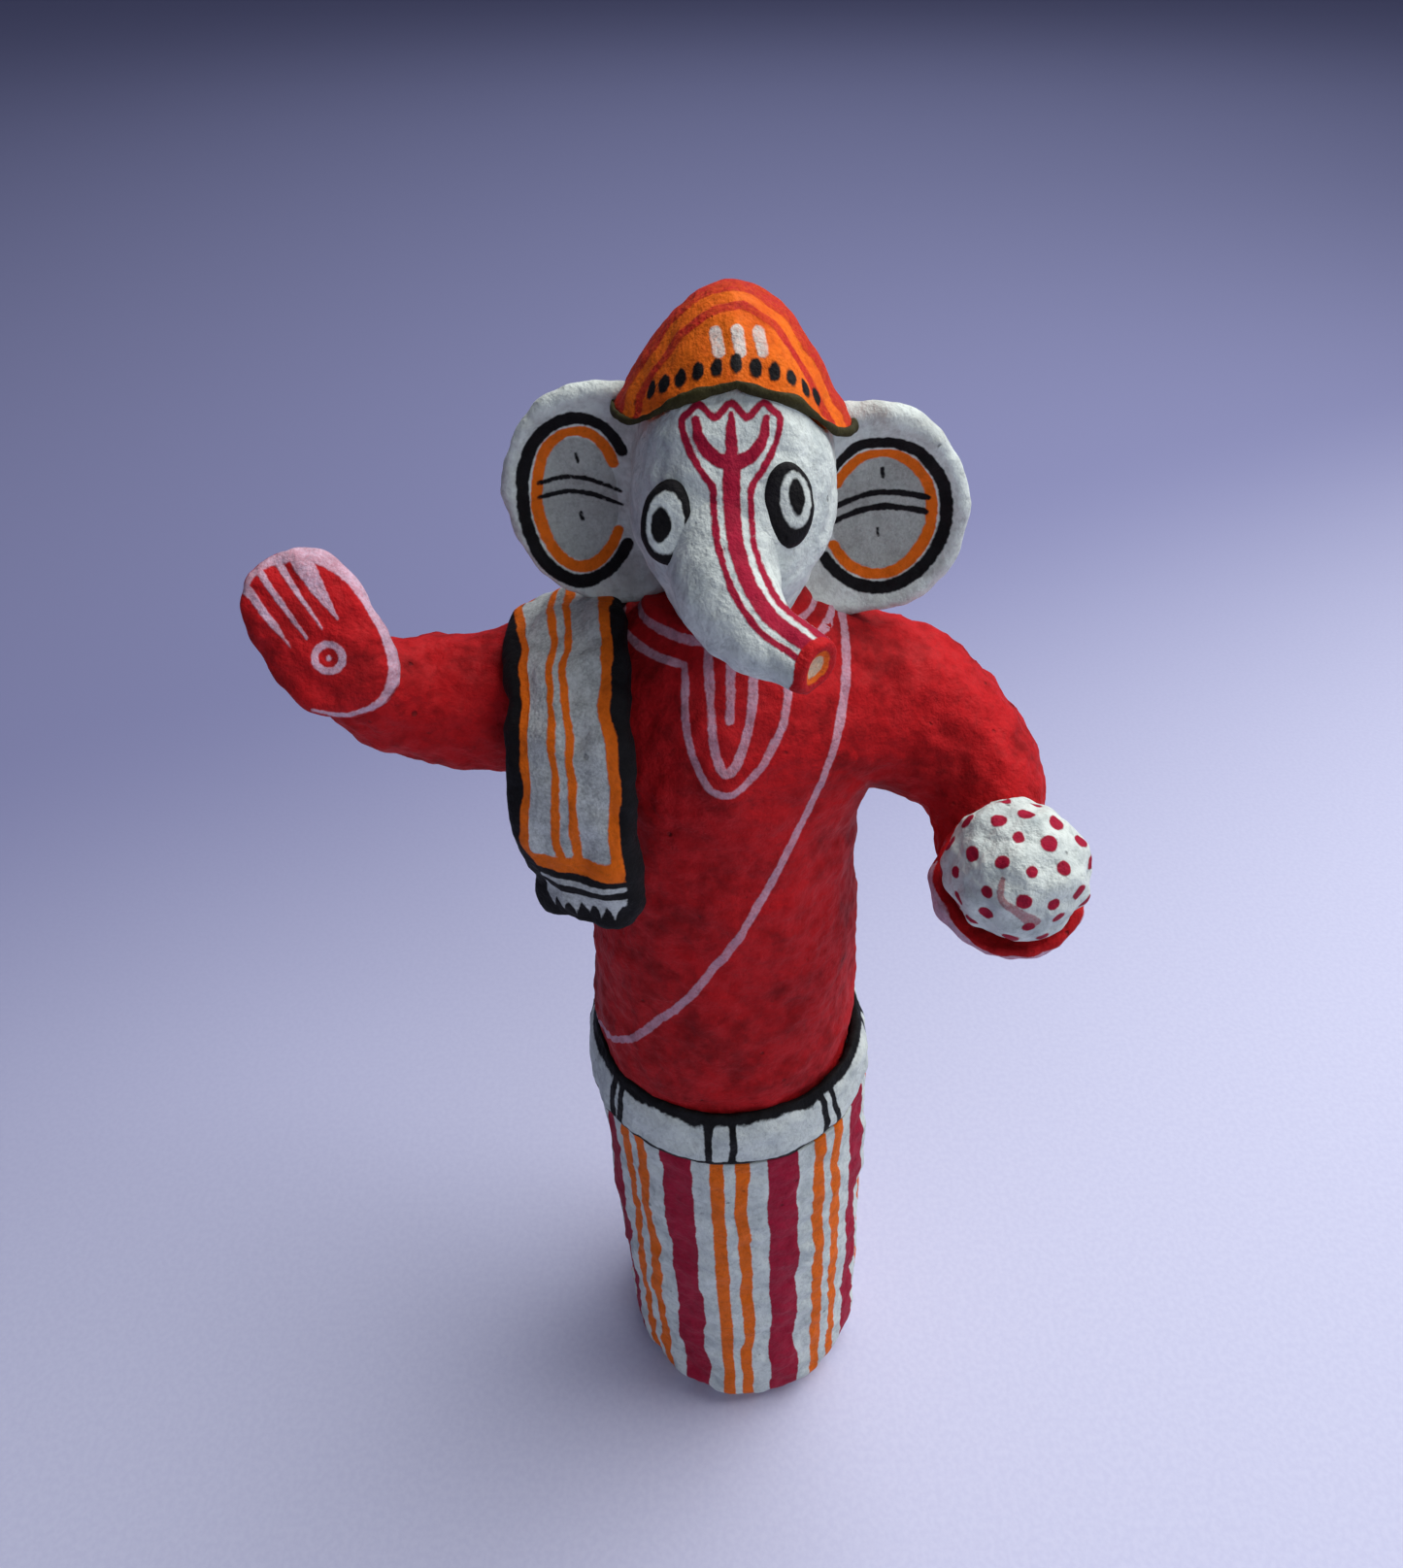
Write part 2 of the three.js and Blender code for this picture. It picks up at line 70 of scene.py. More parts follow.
FOOT_RADIUS = 27.2
FOOT_ROUNDING = 9.0
FOOT_SHIFT = 4.1
HIP_SHIFT = 1.0
HIP_RADIUS = 27.6
WAIST_Z = BELT_LOW[2]
BELT_TOP_Z = BELT_HIGH[2]
BELT_RADIUS = BELT_HIGH[0]
KURTA_SHIFT = (KURTA_LOW[0] + KURTA_HIGH[0]) / 2
NECK_Z = KURTA_HIGH[2]
KURTA_OUTLINE = np.array([
    [24.3, WAIST_Z], [24.9, BELT_TOP_Z], [25.3, 121], [24.3, 140], [23, 158], [22.5, 172],
    [22.6, 183], [21.6, 191], [19.2, 197.5], [15.6, 202.4], [12.6, 205.4], [11.6, NECK_Z],
])

HEAD_CENTRE = np.array([0.9, -4, 223.3])
HEAD_RADII = np.array([14.0, 18, 23.4])
HEAD_POWER = 2.4
CHIN_TAPER = [0.55, 0.66]  # how much narrower the head is at the chin, right and left
CHIN_RETREAT = 0.36  # how much further back the chin is than the brow

CROWN_CENTRE = np.array([0.9, -1.3])
CROWN_RADII = np.array([16.2, 14.7])
CROWN_TOP_Z = 253
# Height of the crown's lower edge, by degrees round from the front.
CROWN_EDGE = [
    [0, 244.7], [22, 242.6], [36, 240.2], [46, 238.4], [56, 237], [70, 236.2], [90, 235.6],
    [135, 235.6], [180, 236],
]
TRIM_HALF = [0.45, 0.65]  # the painted band: half its thickness and half its width

EAR_DEPTH = 2.8
# corners: (degrees round from the figure's left, how much fuller the outline is there).
EARS = {
    "right": {
        "centre": np.array([-17.4, 1, 222.9]), "half": np.array([14.2, 16.2]),
        "corners": [(50, 0.12), (132, 0.06), (215, -0.04), (300, 0.06)],
    },
    "left": {
        "centre": np.array([20.0, 1, 220.0]), "half": np.array([14.8, 15.8]),
        "corners": [(128, 0.05), (318, 0.05), (240, 0.08)],
    },
}
EYES = {
    "right": {"centre": np.array([-8.1, -21.9, 229.5]), "turn": -0.3},
    "left": {"centre": np.array([7.3, -21.2, 231.5]), "turn": 0.3},
}
EYE_HALF = np.array([3.4, 5.2])

TRUNK_PATH = [
    [0.2, -13, 227.5], [-0.8, -19.6, 225.6], [-0.9, -25.2, 221.8],
    [2.6, -29.9, 218.7], [6.8, -32.6, 217.2], [10.2, -35.5, 216.6],
]
TRUNK_RADII = [4.6, 5.6, 6.3, 5.5, 4.4, 3.6]
RIGHT_ARM_PATH = [
    [-13, 0, 188.5], [-27, 0, 189.3], [-40, -1, 189.8],
    [-49, -4, 192.6], [-54.4, -8.5, 198.6], [-57, -12, 206.5],
]
RIGHT_ARM_RADII = [12.6, 11.8, 11, 9.2, 7.2, 5.6]
LEFT_ARM_PATH = [
    [13, 0, 189.5], [24, 0, 188.4], [32.2, -2, 184.8],
    [38.6, -6, 179.4], [41.6, -12, 173.8], [41.6, -20, 168.4],
]
LEFT_ARM_RADII = [14, 13.2, 12.4, 11, 9.4, 8]

PALM_CENTRE = np.array([-56.8, -15, 210.3])
PALM_NORMAL = np.array([0.15, -0.85, 0.5])
PALM_FINGERS = np.array([-0.5, 0.37, 0.78])
PALM_SIZE = np.array([8.6, 12.4, 3.2])
SWEET_CENTRE = (SWEET_LOW + SWEET_HIGH) / 2
SWEET_RADIUS = (SWEET_HIGH[2] - SWEET_LOW[2]) / 2
CUP_NORMAL = np.array([-0.06, -0.5, 0.86])
CUP_RADIUS = 11.2
CUP_DEPTH = 5.0
CUP_RIM = 3.2

SCARF_THICKNESS = 5.0
SCARF_HALF_WIDTH = 9.7
SCARF_TURN = 0.41
SCARF_TOP_TILT = 0.36
SCARF_PATH = [
    [-22.3, -21.2, 164.5], [-22.3, -21.4, 182], [-22.4, -18, 193.6], [-23, -9, 199.4],
    [-23.6, -1, 200.8], [-23.4, 7, 199], [-22.8, 13, 192.8], [-22.3, 15.8, 182],
    [-22.3, 16.8, 168],
]

FACE_TILT = math.radians(25)  # the face paint is laid out as seen from this far above
FACE_Z = 225

# How far two neighbouring forms blend into each other.
SHOULDER_BLEND = 9.0
ARMPIT_BLEND = 11.5
TRUNK_BLEND = 7.0
EAR_BLEND = 5.0
HAND_BLEND = 3.0


# ---- small geometry tools ---------------------------------------------------------------
def unit(vector):
    return vector / np.linalg.norm(vector, axis=-1, keepdims=True)


def smooth_line(points, step=STEP):
    """Evenly spaced points along the Catmull-Rom curve through a few points."""
    p = np.asarray(points, float)
    padded = np.vstack([2 * p[0] - p[1], p, 2 * p[-1] - p[-2]])
    t = np.linspace(0, 1, 24, endpoint=False)[:, None]
    parts = []
    for a, b, c, d in zip(padded, padded[1:], padded[2:], padded[3:]):
        square = (2 * a - 5 * b + 4 * c - d) * t**2
        cube = (3 * b - a - 3 * c + d) * t**3
        parts.append(0.5 * (2 * b + (c - a) * t + square + cube))
    line = np.vstack([*parts, p[-1:]])
    gone = np.concatenate([[0], np.cumsum(np.linalg.norm(np.diff(line, axis=0), axis=1))])
    places = np.linspace(0, gone[-1], max(2, round(gone[-1] / step) + 1))
    return np.stack([np.interp(places, gone, column) for column in line.T], axis=1)


def waves(points, wavelength, seed):
    """Smooth random relief of about unit height: a sum of plane waves."""
    count = 26
    draw = np.random.default_rng(seed)
    directions = unit(draw.normal(size=(count, 3)))
    lengths = wavelength * draw.uniform(0.7, 1.5, count)
    phases = draw.uniform(0, 2 * math.pi, count)
    turns = points @ (directions * (2 * math.pi / lengths)[:, None]).T + phases
    return np.cos(turns).sum(axis=1) * math.sqrt(2 / count)


def lumps(points, amount=1.0):
    """The hand-made unevenness of papier-mache, the same field for every piece."""
    broad = 0.24 * waves(points, 15, 1) + 0.13 * waves(points, 6.5, 2)
    return amount * (broad + 0.07 * waves(points, 3.1, 3) + 0.035 * waves(points, 1.9, 4))


def blend_rise(distance, reach):
    """How far a surface rises where another form's surface is near: a soft fillet."""
    near = np.clip((reach - np.abs(distance)) / reach, 0, 1)
    return reach / 4 * near**2


def grid_quads(rows, columns, closed_rows=False):
    """Quads over rings of points that close on themselves."""
    row_count = rows if closed_rows else rows - 1
    i, j = np.meshgrid(np.arange(row_count), np.arange(columns), indexing="ij")
    below = (i + 1) % rows
    beside = (j + 1) % columns
    corners = [i * columns + j, i * columns + beside, below * columns + beside, below * columns + j]
    return np.stack([c.ravel() for c in corners], axis=1)


def closed_skin(rings, first_pole, last_pole):
    """A closed surface through a stack of rings, with a pole point at each end."""
    rows, columns, _ = rings.shape
    points = np.vstack([rings.reshape(-1, 3), first_pole, last_pole])
    j = np.arange(columns)
    after = (j + 1) % columns
    first = rows * columns
    last_row = (rows - 1) * columns
    caps = np.vstack([
        np.stack([np.full(columns, first), after, j], axis=1),
        np.stack([np.full(columns, first + 1), last_row + j, last_row + after], axis=1),
    ])
    return outward(points, grid_quads(rows, columns), caps)


def closed_ring(rings):
    """A closed surface through rings whose last joins the first, like a hoop."""
    rows, columns, _ = rings.shape
    quads = grid_quads(rows, columns, closed_rows=True)
    return outward(rings.reshape(-1, 3), quads, np.zeros((0, 3), int))


def outward(points, quads, triangles):
    """The same surface with its faces turned to point out."""
    a, b, c, d = (points[quads[:, k]] for k in range(4))
    volume = np.sum(a * np.cross(b, c)) + np.sum(a * np.cross(c, d))
    if len(triangles):
        e, f, g = (points[triangles[:, k]] for k in range(3))
        volume += np.sum(e * np.cross(f, g))
    if volume < 0:
        quads = quads[:, ::-1]
        triangles = triangles[:, ::-1]
    return points, quads, triangles


def normals(points, quads, triangles):
    total = np.zeros_like(points)
    across = np.cross(
        points[quads[:, 2]] - points[quads[:, 0]], points[quads[:, 3]] - points[quads[:, 1]]
    )
    for k in range(4):
        np.add.at(total, quads[:, k], across)
    if len(triangles):
        first = points[triangles[:, 0]]
        across = np.cross(points[triangles[:, 1]] - first, points[triangles[:, 2]] - first)
        for k in range(3):
            np.add.at(total, triangles[:, k], across)
    return total / np.maximum(np.linalg.norm(total, axis=1, keepdims=True), 1e-12)


def swell(skin, rise):
    """Moves each vertex of a surface along its normal."""
    points, quads, triangles = skin
    return points + normals(*skin) * rise[:, None], quads, triangles


def ball(cells):
    """Unit directions spread evenly over a ball, joined as quads."""
    line = np.tan(np.linspace(-math.pi / 4, math.pi / 4, cells + 1))
    u, v = np.meshgrid(line, line, indexing="ij")
    one = np.ones_like(u)
    sides = [(one, u, v), (-one, v, u), (v, one, u), (u, -one, v), (u, v, one), (v, u, -one)]
    every = np.vstack([np.stack([c.ravel() for c in side], axis=1) for side in sides])
    i, j = np.meshgrid(np.arange(cells), np.arange(cells), indexing="ij")
    start = (i * (cells + 1) + j).ravel()
    one_side = np.stack([start, start + cells + 1, start + cells + 2, start + 1], axis=1)
    quads = np.vstack([one_side + k * (cells + 1) ** 2 for k in range(6)])
    keys = np.round(every * 1e5).astype(np.int64)
    _, first, again = np.unique(keys, axis=0, return_index=True, return_inverse=True)
    return unit(every[first]), again.reshape(-1)[quads], np.zeros((0, 3), int)


def boxed(directions, power):
    """Turns ball directions into a superellipsoid, squarer as the power grows."""
    return np.sign(directions) * np.abs(directions) ** (2 / power)


def turned(outline, step=STEP, shift=None):
    """A body of revolution about +Z; shift moves each height along +X."""
    outline = np.asarray(outline, float)
    sides = round(2 * math.pi * outline[:, 0].max() / step)
    angle = np.linspace(0, 2 * math.pi, sides, endpoint=False)
    radius = outline[:, 0][:, None]
    height = outline[:, 1][:, None] + 0 * angle
    rings = np.stack([radius * np.cos(angle), radius * np.sin(angle), height], axis=2)
    poles = np.array([[0, 0, outline[0, 1]], [0, 0, outline[-1, 1]]])
    if shift is not None:
        rings[..., 0] += shift(rings[..., 2])
        poles[:, 0] += shift(poles[:, 2])
    return closed_skin(rings, poles[0], poles[1])


def basis(normal, upward):
    """Right, up and outward axes of a flat thing that faces along a normal."""
    z = unit(np.asarray(normal, float))
    x = unit(np.cross(upward, z))
    return np.stack([x, np.cross(z, x), z])


def stations(path, radii, step=STEP):
    """Points and radii evenly spaced along a limb."""
    line = smooth_line(np.column_stack([path, radii]), step)
    return line[:, :3], line[:, 3]


def limb(path, radii, root_round, tip_round, step=STEP):
    """A round limb along a path, with rounded ends."""
    line, radius = stations(path, radii, step)
    tangents = unit(np.gradient(line, axis=0))
    bend = np.linspace(0, math.pi / 2, 10)[1:-1]
    root_line = line[0] - tangents[0] * (np.sin(bend[::-1]) * root_round)[:, None]
    tip_line = line[-1] + tangents[-1] * (np.sin(bend) * tip_round)[:, None]
    line = np.vstack([root_line, line, tip_line])
    root_radius = radius[0] * np.cos(bend[::-1])
    tip_radius = radius[-1] * np.cos(bend)
    radius = np.concatenate([root_radius, radius, tip_radius])
    ends = np.repeat(tangents[:1], len(bend), axis=0), np.repeat(tangents[-1:], len(bend), axis=0)
    tangents = np.vstack([ends[0], tangents, ends[1]])
    sides = round(2 * math.pi * radius.max() / step)
    angle = np.linspace(0, 2 * math.pi, sides, endpoint=False)
    across = unit(np.cross(tangents[0], [0.1, 0.2, 1]))
    rings = np.zeros((len(line), sides, 3))
    for i, tangent in enumerate(tangents):
        across = unit(across - (across @ tangent) * tangent)
        along = np.cross(tangent, across)
        turn = np.outer(np.cos(angle), across) + np.outer(np.sin(angle), along)
        rings[i] = line[i] + radius[i] * turn
    first = line[0] - tangents[0] * 0.02 * radius.max()
    last = line[-1] + tangents[-1] * 0.02 * radius.max()
    return closed_skin(rings, first, last)


# ---- distances to the neighbouring forms ------------------------------------------------
def to_limb(points, path, radii):
    line, radius = stations(path, radii, 1.5)
    best = np.full(len(points), 1e3)
    for centre, r in zip(line, radius):
        best = np.minimum(best, np.linalg.norm(points - centre, axis=1) - r)
    return best


def to_kurta(points):
    radius = np.hypot(points[:, 0] - KURTA_SHIFT, points[:, 1])
    wall = np.interp(points[:, 2], KURTA_OUTLINE[:, 1], KURTA_OUTLINE[:, 0])
    above = np.maximum(points[:, 2] - NECK_Z, 0)
    return np.hypot(np.maximum(radius - wall, 0), above) + np.minimum(radius - wall, 0)


def head_taper(place):
    """Width and depth of the head at a place inside its unit box."""
    below = np.clip(-place[:, 2], 0, 1)
    side = np.where(place[:, 0] < 0, CHIN_TAPER[0], CHIN_TAPER[1])
    return 1 - side * below, 1 - CHIN_RETREAT * below * (place[:, 1] < 0)


def to_head(points):
    place = (points - HEAD_CENTRE) / HEAD_RADII
    width, depth = head_taper(place)
    place[:, 0] /= width
    place[:, 1] /= depth
    size = (np.abs(place) ** HEAD_POWER).sum(axis=1) ** (1 / HEAD_POWER)
    return np.linalg.norm(points - HEAD_CENTRE, axis=1) * (1 - 1 / np.maximum(size, 0.05))


def to_ear(points, side):
    ear = EARS[side]
    flat = (points[:, [0, 2]] - ear["centre"][[0, 2]]) / ear["half"]
    rim = (np.linalg.norm(flat, axis=1) - 1) * ear["half"].min()
    return np.maximum(rim, np.abs(points[:, 1] - ear["centre"][1]) - 0.7 * EAR_DEPTH)


def to_palm(points):
    place = (points - PALM_CENTRE) @ basis(PALM_NORMAL, PALM_FINGERS).T / PALM_SIZE
    return (np.linalg.norm(place, axis=1) - 1) * PALM_SIZE[2]


# ---- paint strokes as signed distances --------------------------------------------------
def stroke(points, line, half_width, step=0.8):
    """Distance to a brush stroke, negative in the paint. Widths may change along it."""
    half = np.broadcast_to(np.asarray(half_width, float), (len(line),))
    path = smooth_line(np.column_stack([line, half]), step)
    spots, widths = path[:, :-1], path[:, -1]
    result = np.full(len(points), FAR)
    reach = 3.0
    near = np.all((points > spots.min(axis=0) - reach) & (points < spots.max(axis=0) + reach), axis=1)
    p = points[near]
    best = np.full(len(p), FAR)
    for a, b, wide_a, wide_b in zip(spots, spots[1:], widths, widths[1:]):
        span = b - a
        t = np.clip((p - a) @ span / (span @ span), 0, 1)
        gap = np.linalg.norm(p - a - t[:, None] * span, axis=1)
        best = np.minimum(best, gap - wide_a - (wide_b - wide_a) * t)
    result[near] = best
    return result


def oval(points, centre, half):
    """Distance to a painted oval dot."""
    half = np.broadcast_to(np.asarray(half, float), (points.shape[1],))
    place = (points - np.asarray(centre)) / half
    return (np.linalg.norm(place, axis=1) - 1) * half.min()


def together(*distances):
    return np.minimum.reduce(distances)


def only(distance, where):
    """Keeps a stroke where a condition holds."""
    return np.where(where, distance, FAR)


def face_chart(points):
    """The face as seen from in front and a little above: across, and up."""
    up = (points[:, 2] - FACE_Z) * math.cos(FACE_TILT) + points[:, 1] * math.sin(FACE_TILT)
    return np.column_stack([points[:, 0], up])


def on_kurta(chart):
    """Points of the kurta from (degrees round from the front, height)."""
    chart = np.asarray(chart, float)
    wall = np.interp(chart[:, 1], KURTA_OUTLINE[:, 1], KURTA_OUTLINE[:, 0])
    angle = np.radians(chart[:, 0])
    return np.column_stack([
        KURTA_SHIFT + wall * np.sin(angle), -wall * np.cos(angle), chart[:, 1],
    ])


def azimuth(points, middle_x):
    """Degrees round from the front, positive towards the figure's left."""
    return np.degrees(np.arctan2(points[:, 0] - middle_x, -points[:, 1]))


def wrap(degrees):
    return (degrees + 180) % 360 - 180


# ---- materials --------------------------------------------------------------------------
def srgb(red, green, blue):
    values = [v / 255 for v in (red, green, blue)]
    return [v / 12.92 if v < 0.04045 else ((v + 0.055) / 1.055) ** 2.4 for v in values] + [1]


WHITE = srgb(212, 221, 215)
GREY_WASH = srgb(140, 152, 156)
RED = srgb(184, 18, 24)
DEEP_RED = srgb(122, 8, 13)
CRIMSON = srgb(160, 16, 50)
ORANGE = srgb(232, 108, 14)
BLACK = srgb(13, 12, 14)
MAUVE = srgb(212, 186, 205)
OLIVE = srgb(56, 52, 22)
PALE = srgb(206, 190, 160)
THREAD_COVER = 0.66  # how opaque the pale lines are on the body
HAND_COVER = 0.9  # and on the hands


class Shader:
    """A node material under construction. Its coordinates are millimetres."""

    def __init__(self, name):
        self.material = bpy.data.materials.new(name)
        self.material.use_nodes = True
        self.tree = self.material.node_tree
        self.bsdf = self.tree.nodes["Principled BSDF"]
        place = self.tree.nodes.new("ShaderNodeTexCoord")
        scale = self.tree.nodes.new("ShaderNodeVectorMath")
        scale.operation = "SCALE"
        scale.inputs["Scale"].default_value = 1 / MM
        self.link(place.outputs["Object"], scale.inputs[0])
        self.place = scale.outputs[0]

    def link(self, start, end):
        self.tree.links.new(start, end)

    def put(self, value, socket):
        if isinstance(value, bpy.types.NodeSocket):
            self.link(value, socket)
        else:
            socket.default_value = value

    def maths(self, operation, *values, clamp=False):
        node = self.tree.nodes.new("ShaderNodeMath")
        node.operation = operation
        node.use_clamp = clamp
        for value, socket in zip(values, node.inputs):
            self.put(value, socket)
        return node.outputs[0]

    def noise(self, size, detail=2.0, roughness=0.5, stretch=(1, 1, 1), offset=0.0):
        """Noise whose features are about `size` millimetres."""
        mapping = self.tree.nodes.new("ShaderNodeMapping")
        mapping.inputs["Scale"].default_value = [s / size for s in stretch]
        mapping.inputs["Location"].default_value = (offset, offset, offset)
        self.link(self.place, mapping.inputs["Vector"])
        node = self.tree.nodes.new("ShaderNodeTexNoise")
        node.inputs["Scale"].default_value = 1.0
        node.inputs["Detail"].default_value = detail
        node.inputs["Roughness"].default_value = roughness
        self.link(mapping.outputs[0], node.inputs["Vector"])
        return node.outputs["Fac"]

    def cells(self, size, offset=0.0):
        """Distance to the nearest of scattered points about `size` millimetres apart."""
        mapping = self.tree.nodes.new("ShaderNodeMapping")
        mapping.inputs["Scale"].default_value = [1 / size] * 3
        mapping.inputs["Location"].default_value = (offset, offset, offset)
        self.link(self.place, mapping.inputs["Vector"])
        node = self.tree.nodes.new("ShaderNodeTexVoronoi")
        node.inputs["Scale"].default_value = 1.0
        self.link(mapping.outputs[0], node.inputs["Vector"])
        return node.outputs["Distance"]

    def ranged(self, value, low, high, to_low=0.0, to_high=1.0):
        node = self.tree.nodes.new("ShaderNodeMapRange")
        node.interpolation_type = "SMOOTHSTEP"
        for value_in, name in (
            (value, "Value"), (low, "From Min"), (high, "From Max"),
            (to_low, "To Min"), (to_high, "To Max"),
        ):
            self.put(value_in, node.inputs[name])
        return node.outputs["Result"]

    def mix(self, share, first, second, kind="MIX"):
        node = self.tree.nodes.new("ShaderNodeMix")
        node.data_type = "RGBA"
        node.blend_type = kind
        self.put(share, node.inputs[0])
        self.put(first, node.inputs[6])
        self.put(second, node.inputs[7])
        return node.outputs[2]

    def grey(self, value):
        """A grey colour from a number."""
        node = self.tree.nodes.new("ShaderNodeCombineColor")
        for socket in node.inputs:
            self.link(value, socket)
        return node.outputs[0]

    def painted(self, name):
        """The signed distance to a painted shape, read from the mesh."""
        node = self.tree.nodes.new("ShaderNodeAttribute")
        node.attribute_name = name
        return node.outputs["Fac"]

    def finish(self, colour, height, height_mm, roughness):
        self.link(colour, self.bsdf.inputs["Base Color"])
        bump = self.tree.nodes.new("ShaderNodeBump")
        bump.inputs["Strength"].default_value = 1.0
        bump.inputs["Distance"].default_value = height_mm * MM
        self.put(height, bump.inputs["Height"])
        self.link(bump.outputs[0], self.bsdf.inputs["Normal"])
        self.put(roughness, self.bsdf.inputs["Roughness"])
        return self.material


def red_paint(name, attribute, cover):
    """The matte red of the body and limbs, with pale brush lines on it."""
    return poster_paint(name, RED, DEEP_RED, [(attribute, MAUVE, cover)], depth=0.85)


def poster_paint(name, ground, shade, layers, pit_darkness=1.0, depth=0.55):
    """Papier-mache under matte poster paint.

    ground is the first coat and shade the colour of its thin and dirty places. layers are
    (attribute, colour, cover) from the first stroke to the last; cover is how opaque it is.
    The argument after layers is how far the colour in the pits is darkened, and depth how strong the
    blotches of the shade colour.
    """
    s = Shader(name)
    pulp = s.noise(1.15, detail=3.0, roughness=0.62)
    grit = s.noise(0.42, detail=2.0, roughness=0.6, offset=5.0)
    cloud = s.noise(9.0, detail=3.0, roughness=0.6, offset=11.0)
    patch = s.noise(3.4, detail=3.0, roughness=0.65, offset=17.0)
    ragged = s.maths("MULTIPLY_ADD", s.noise(0.8, detail=2.0, offset=23.0), 0.4, -0.2)
    wander = s.maths("MULTIPLY_ADD", s.noise(3.2, detail=1.0, offset=31.0), 0.36, -0.18)
    wobble = s.maths("ADD", ragged, wander)
    wash = s.ranged(s.maths("ADD", s.maths("MULTIPLY", cloud, 0.6), s.maths("MULTIPLY", patch, 0.4)),
                    0.42, 0.68)
    colour = s.mix(s.maths("MULTIPLY", wash, depth), ground, shade)
    height = s.maths("MULTIPLY_ADD", patch, 1.3, pulp)
    for attribute, tint, cover in layers:
        edge = s.maths("ADD", s.painted(attribute), wobble)
        mask = s.ranged(edge, 0.14, -0.14)
        thin = s.ranged(s.maths("ADD", s.maths("MULTIPLY", grit, 0.5), s.maths("MULTIPLY", patch, 0.5)),
                        0.38, 0.66, cover, cover * 0.62)
        deep = [v * 0.66 for v in tint[:3]] + [1]
        stroke_colour = s.mix(s.maths("MULTIPLY", wash, 0.5), tint, deep)
        body = s.maths("MULTIPLY", mask, thin if cover < 1 else cover)
        colour = s.mix(body, colour, stroke_colour)
        height = s.maths("MULTIPLY_ADD", mask, 0.16, height)
    # Painted light and shade on the pulp grain: its low places are darkened and its raised grains
    # lightened a little.
    hollow = s.ranged(pulp, 0.3, 0.55, 0.84, 1.03)
    colour = s.mix(1.0, colour, s.grey(hollow), kind="MULTIPLY")
    # Pits: small dents in the bump, with their colour darkened towards a dark brown.
    pits = s.ranged(s.cells(4.6, offset=3.0), 0.05, 0.13, 1.0, 0.0)
    pits = s.maths("MULTIPLY", pits, s.ranged(patch, 0.5, 0.62))
    colour = s.mix(s.maths("MULTIPLY", pits, 0.55 * pit_darkness), colour, srgb(30, 24, 22))
    height = s.maths("MULTIPLY_ADD", grit, 0.35, height)
    height = s.maths("MULTIPLY_ADD", pits, -0.9, height)
    roughness = s.ranged(patch, 0.3, 0.7, 0.66, 0.88)
    s.bsdf.inputs["Specular IOR Level"].default_value = 0.2
    return s.finish(colour, height, 0.3, roughness)


# ---- making a piece ---------------------------------------------------------------------
def piece(name, skin, paints, material):
    """Makes the visible piece that stands for the CAD node of the same name."""
    points, quads, triangles = skin
    mesh = bpy.data.meshes.new(name)
    mesh.from_pydata((points * MM).tolist(), [], [*quads.tolist(), *triangles.tolist()])
    mesh.polygons.foreach_set("use_smooth", np.ones(len(mesh.polygons), bool))
    for paint, distance in paints.items():
        attribute = mesh.attributes.new(paint, "FLOAT", "POINT")
        attribute.data.foreach_set("value", distance.astype(np.float32))
    mesh.materials.append(material)
    made = bpy.data.objects.new(name + "_skin", mesh)
    bpy.context.scene.collection.objects.link(made)
    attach(made, "root")
    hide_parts(name)
    return made


# ---- dhoti: striped column --------------------------------------------------------------
# Wide stripes stand evenly round the column, with a pair of thin ones between each two.
WIDE_STRIPES = 8
FIRST_STRIPE_ANGLE = -71
THIN_STRIPE_OFFSET = 0.115  # from halfway between two wide stripes, as a share of their pitch
WIDE_HALF = 3.15
THIN_HALF = 1.4


def column_shift(z):
    return FOOT_SHIFT + (HIP_SHIFT - FOOT_SHIFT) * z / WAIST_Z


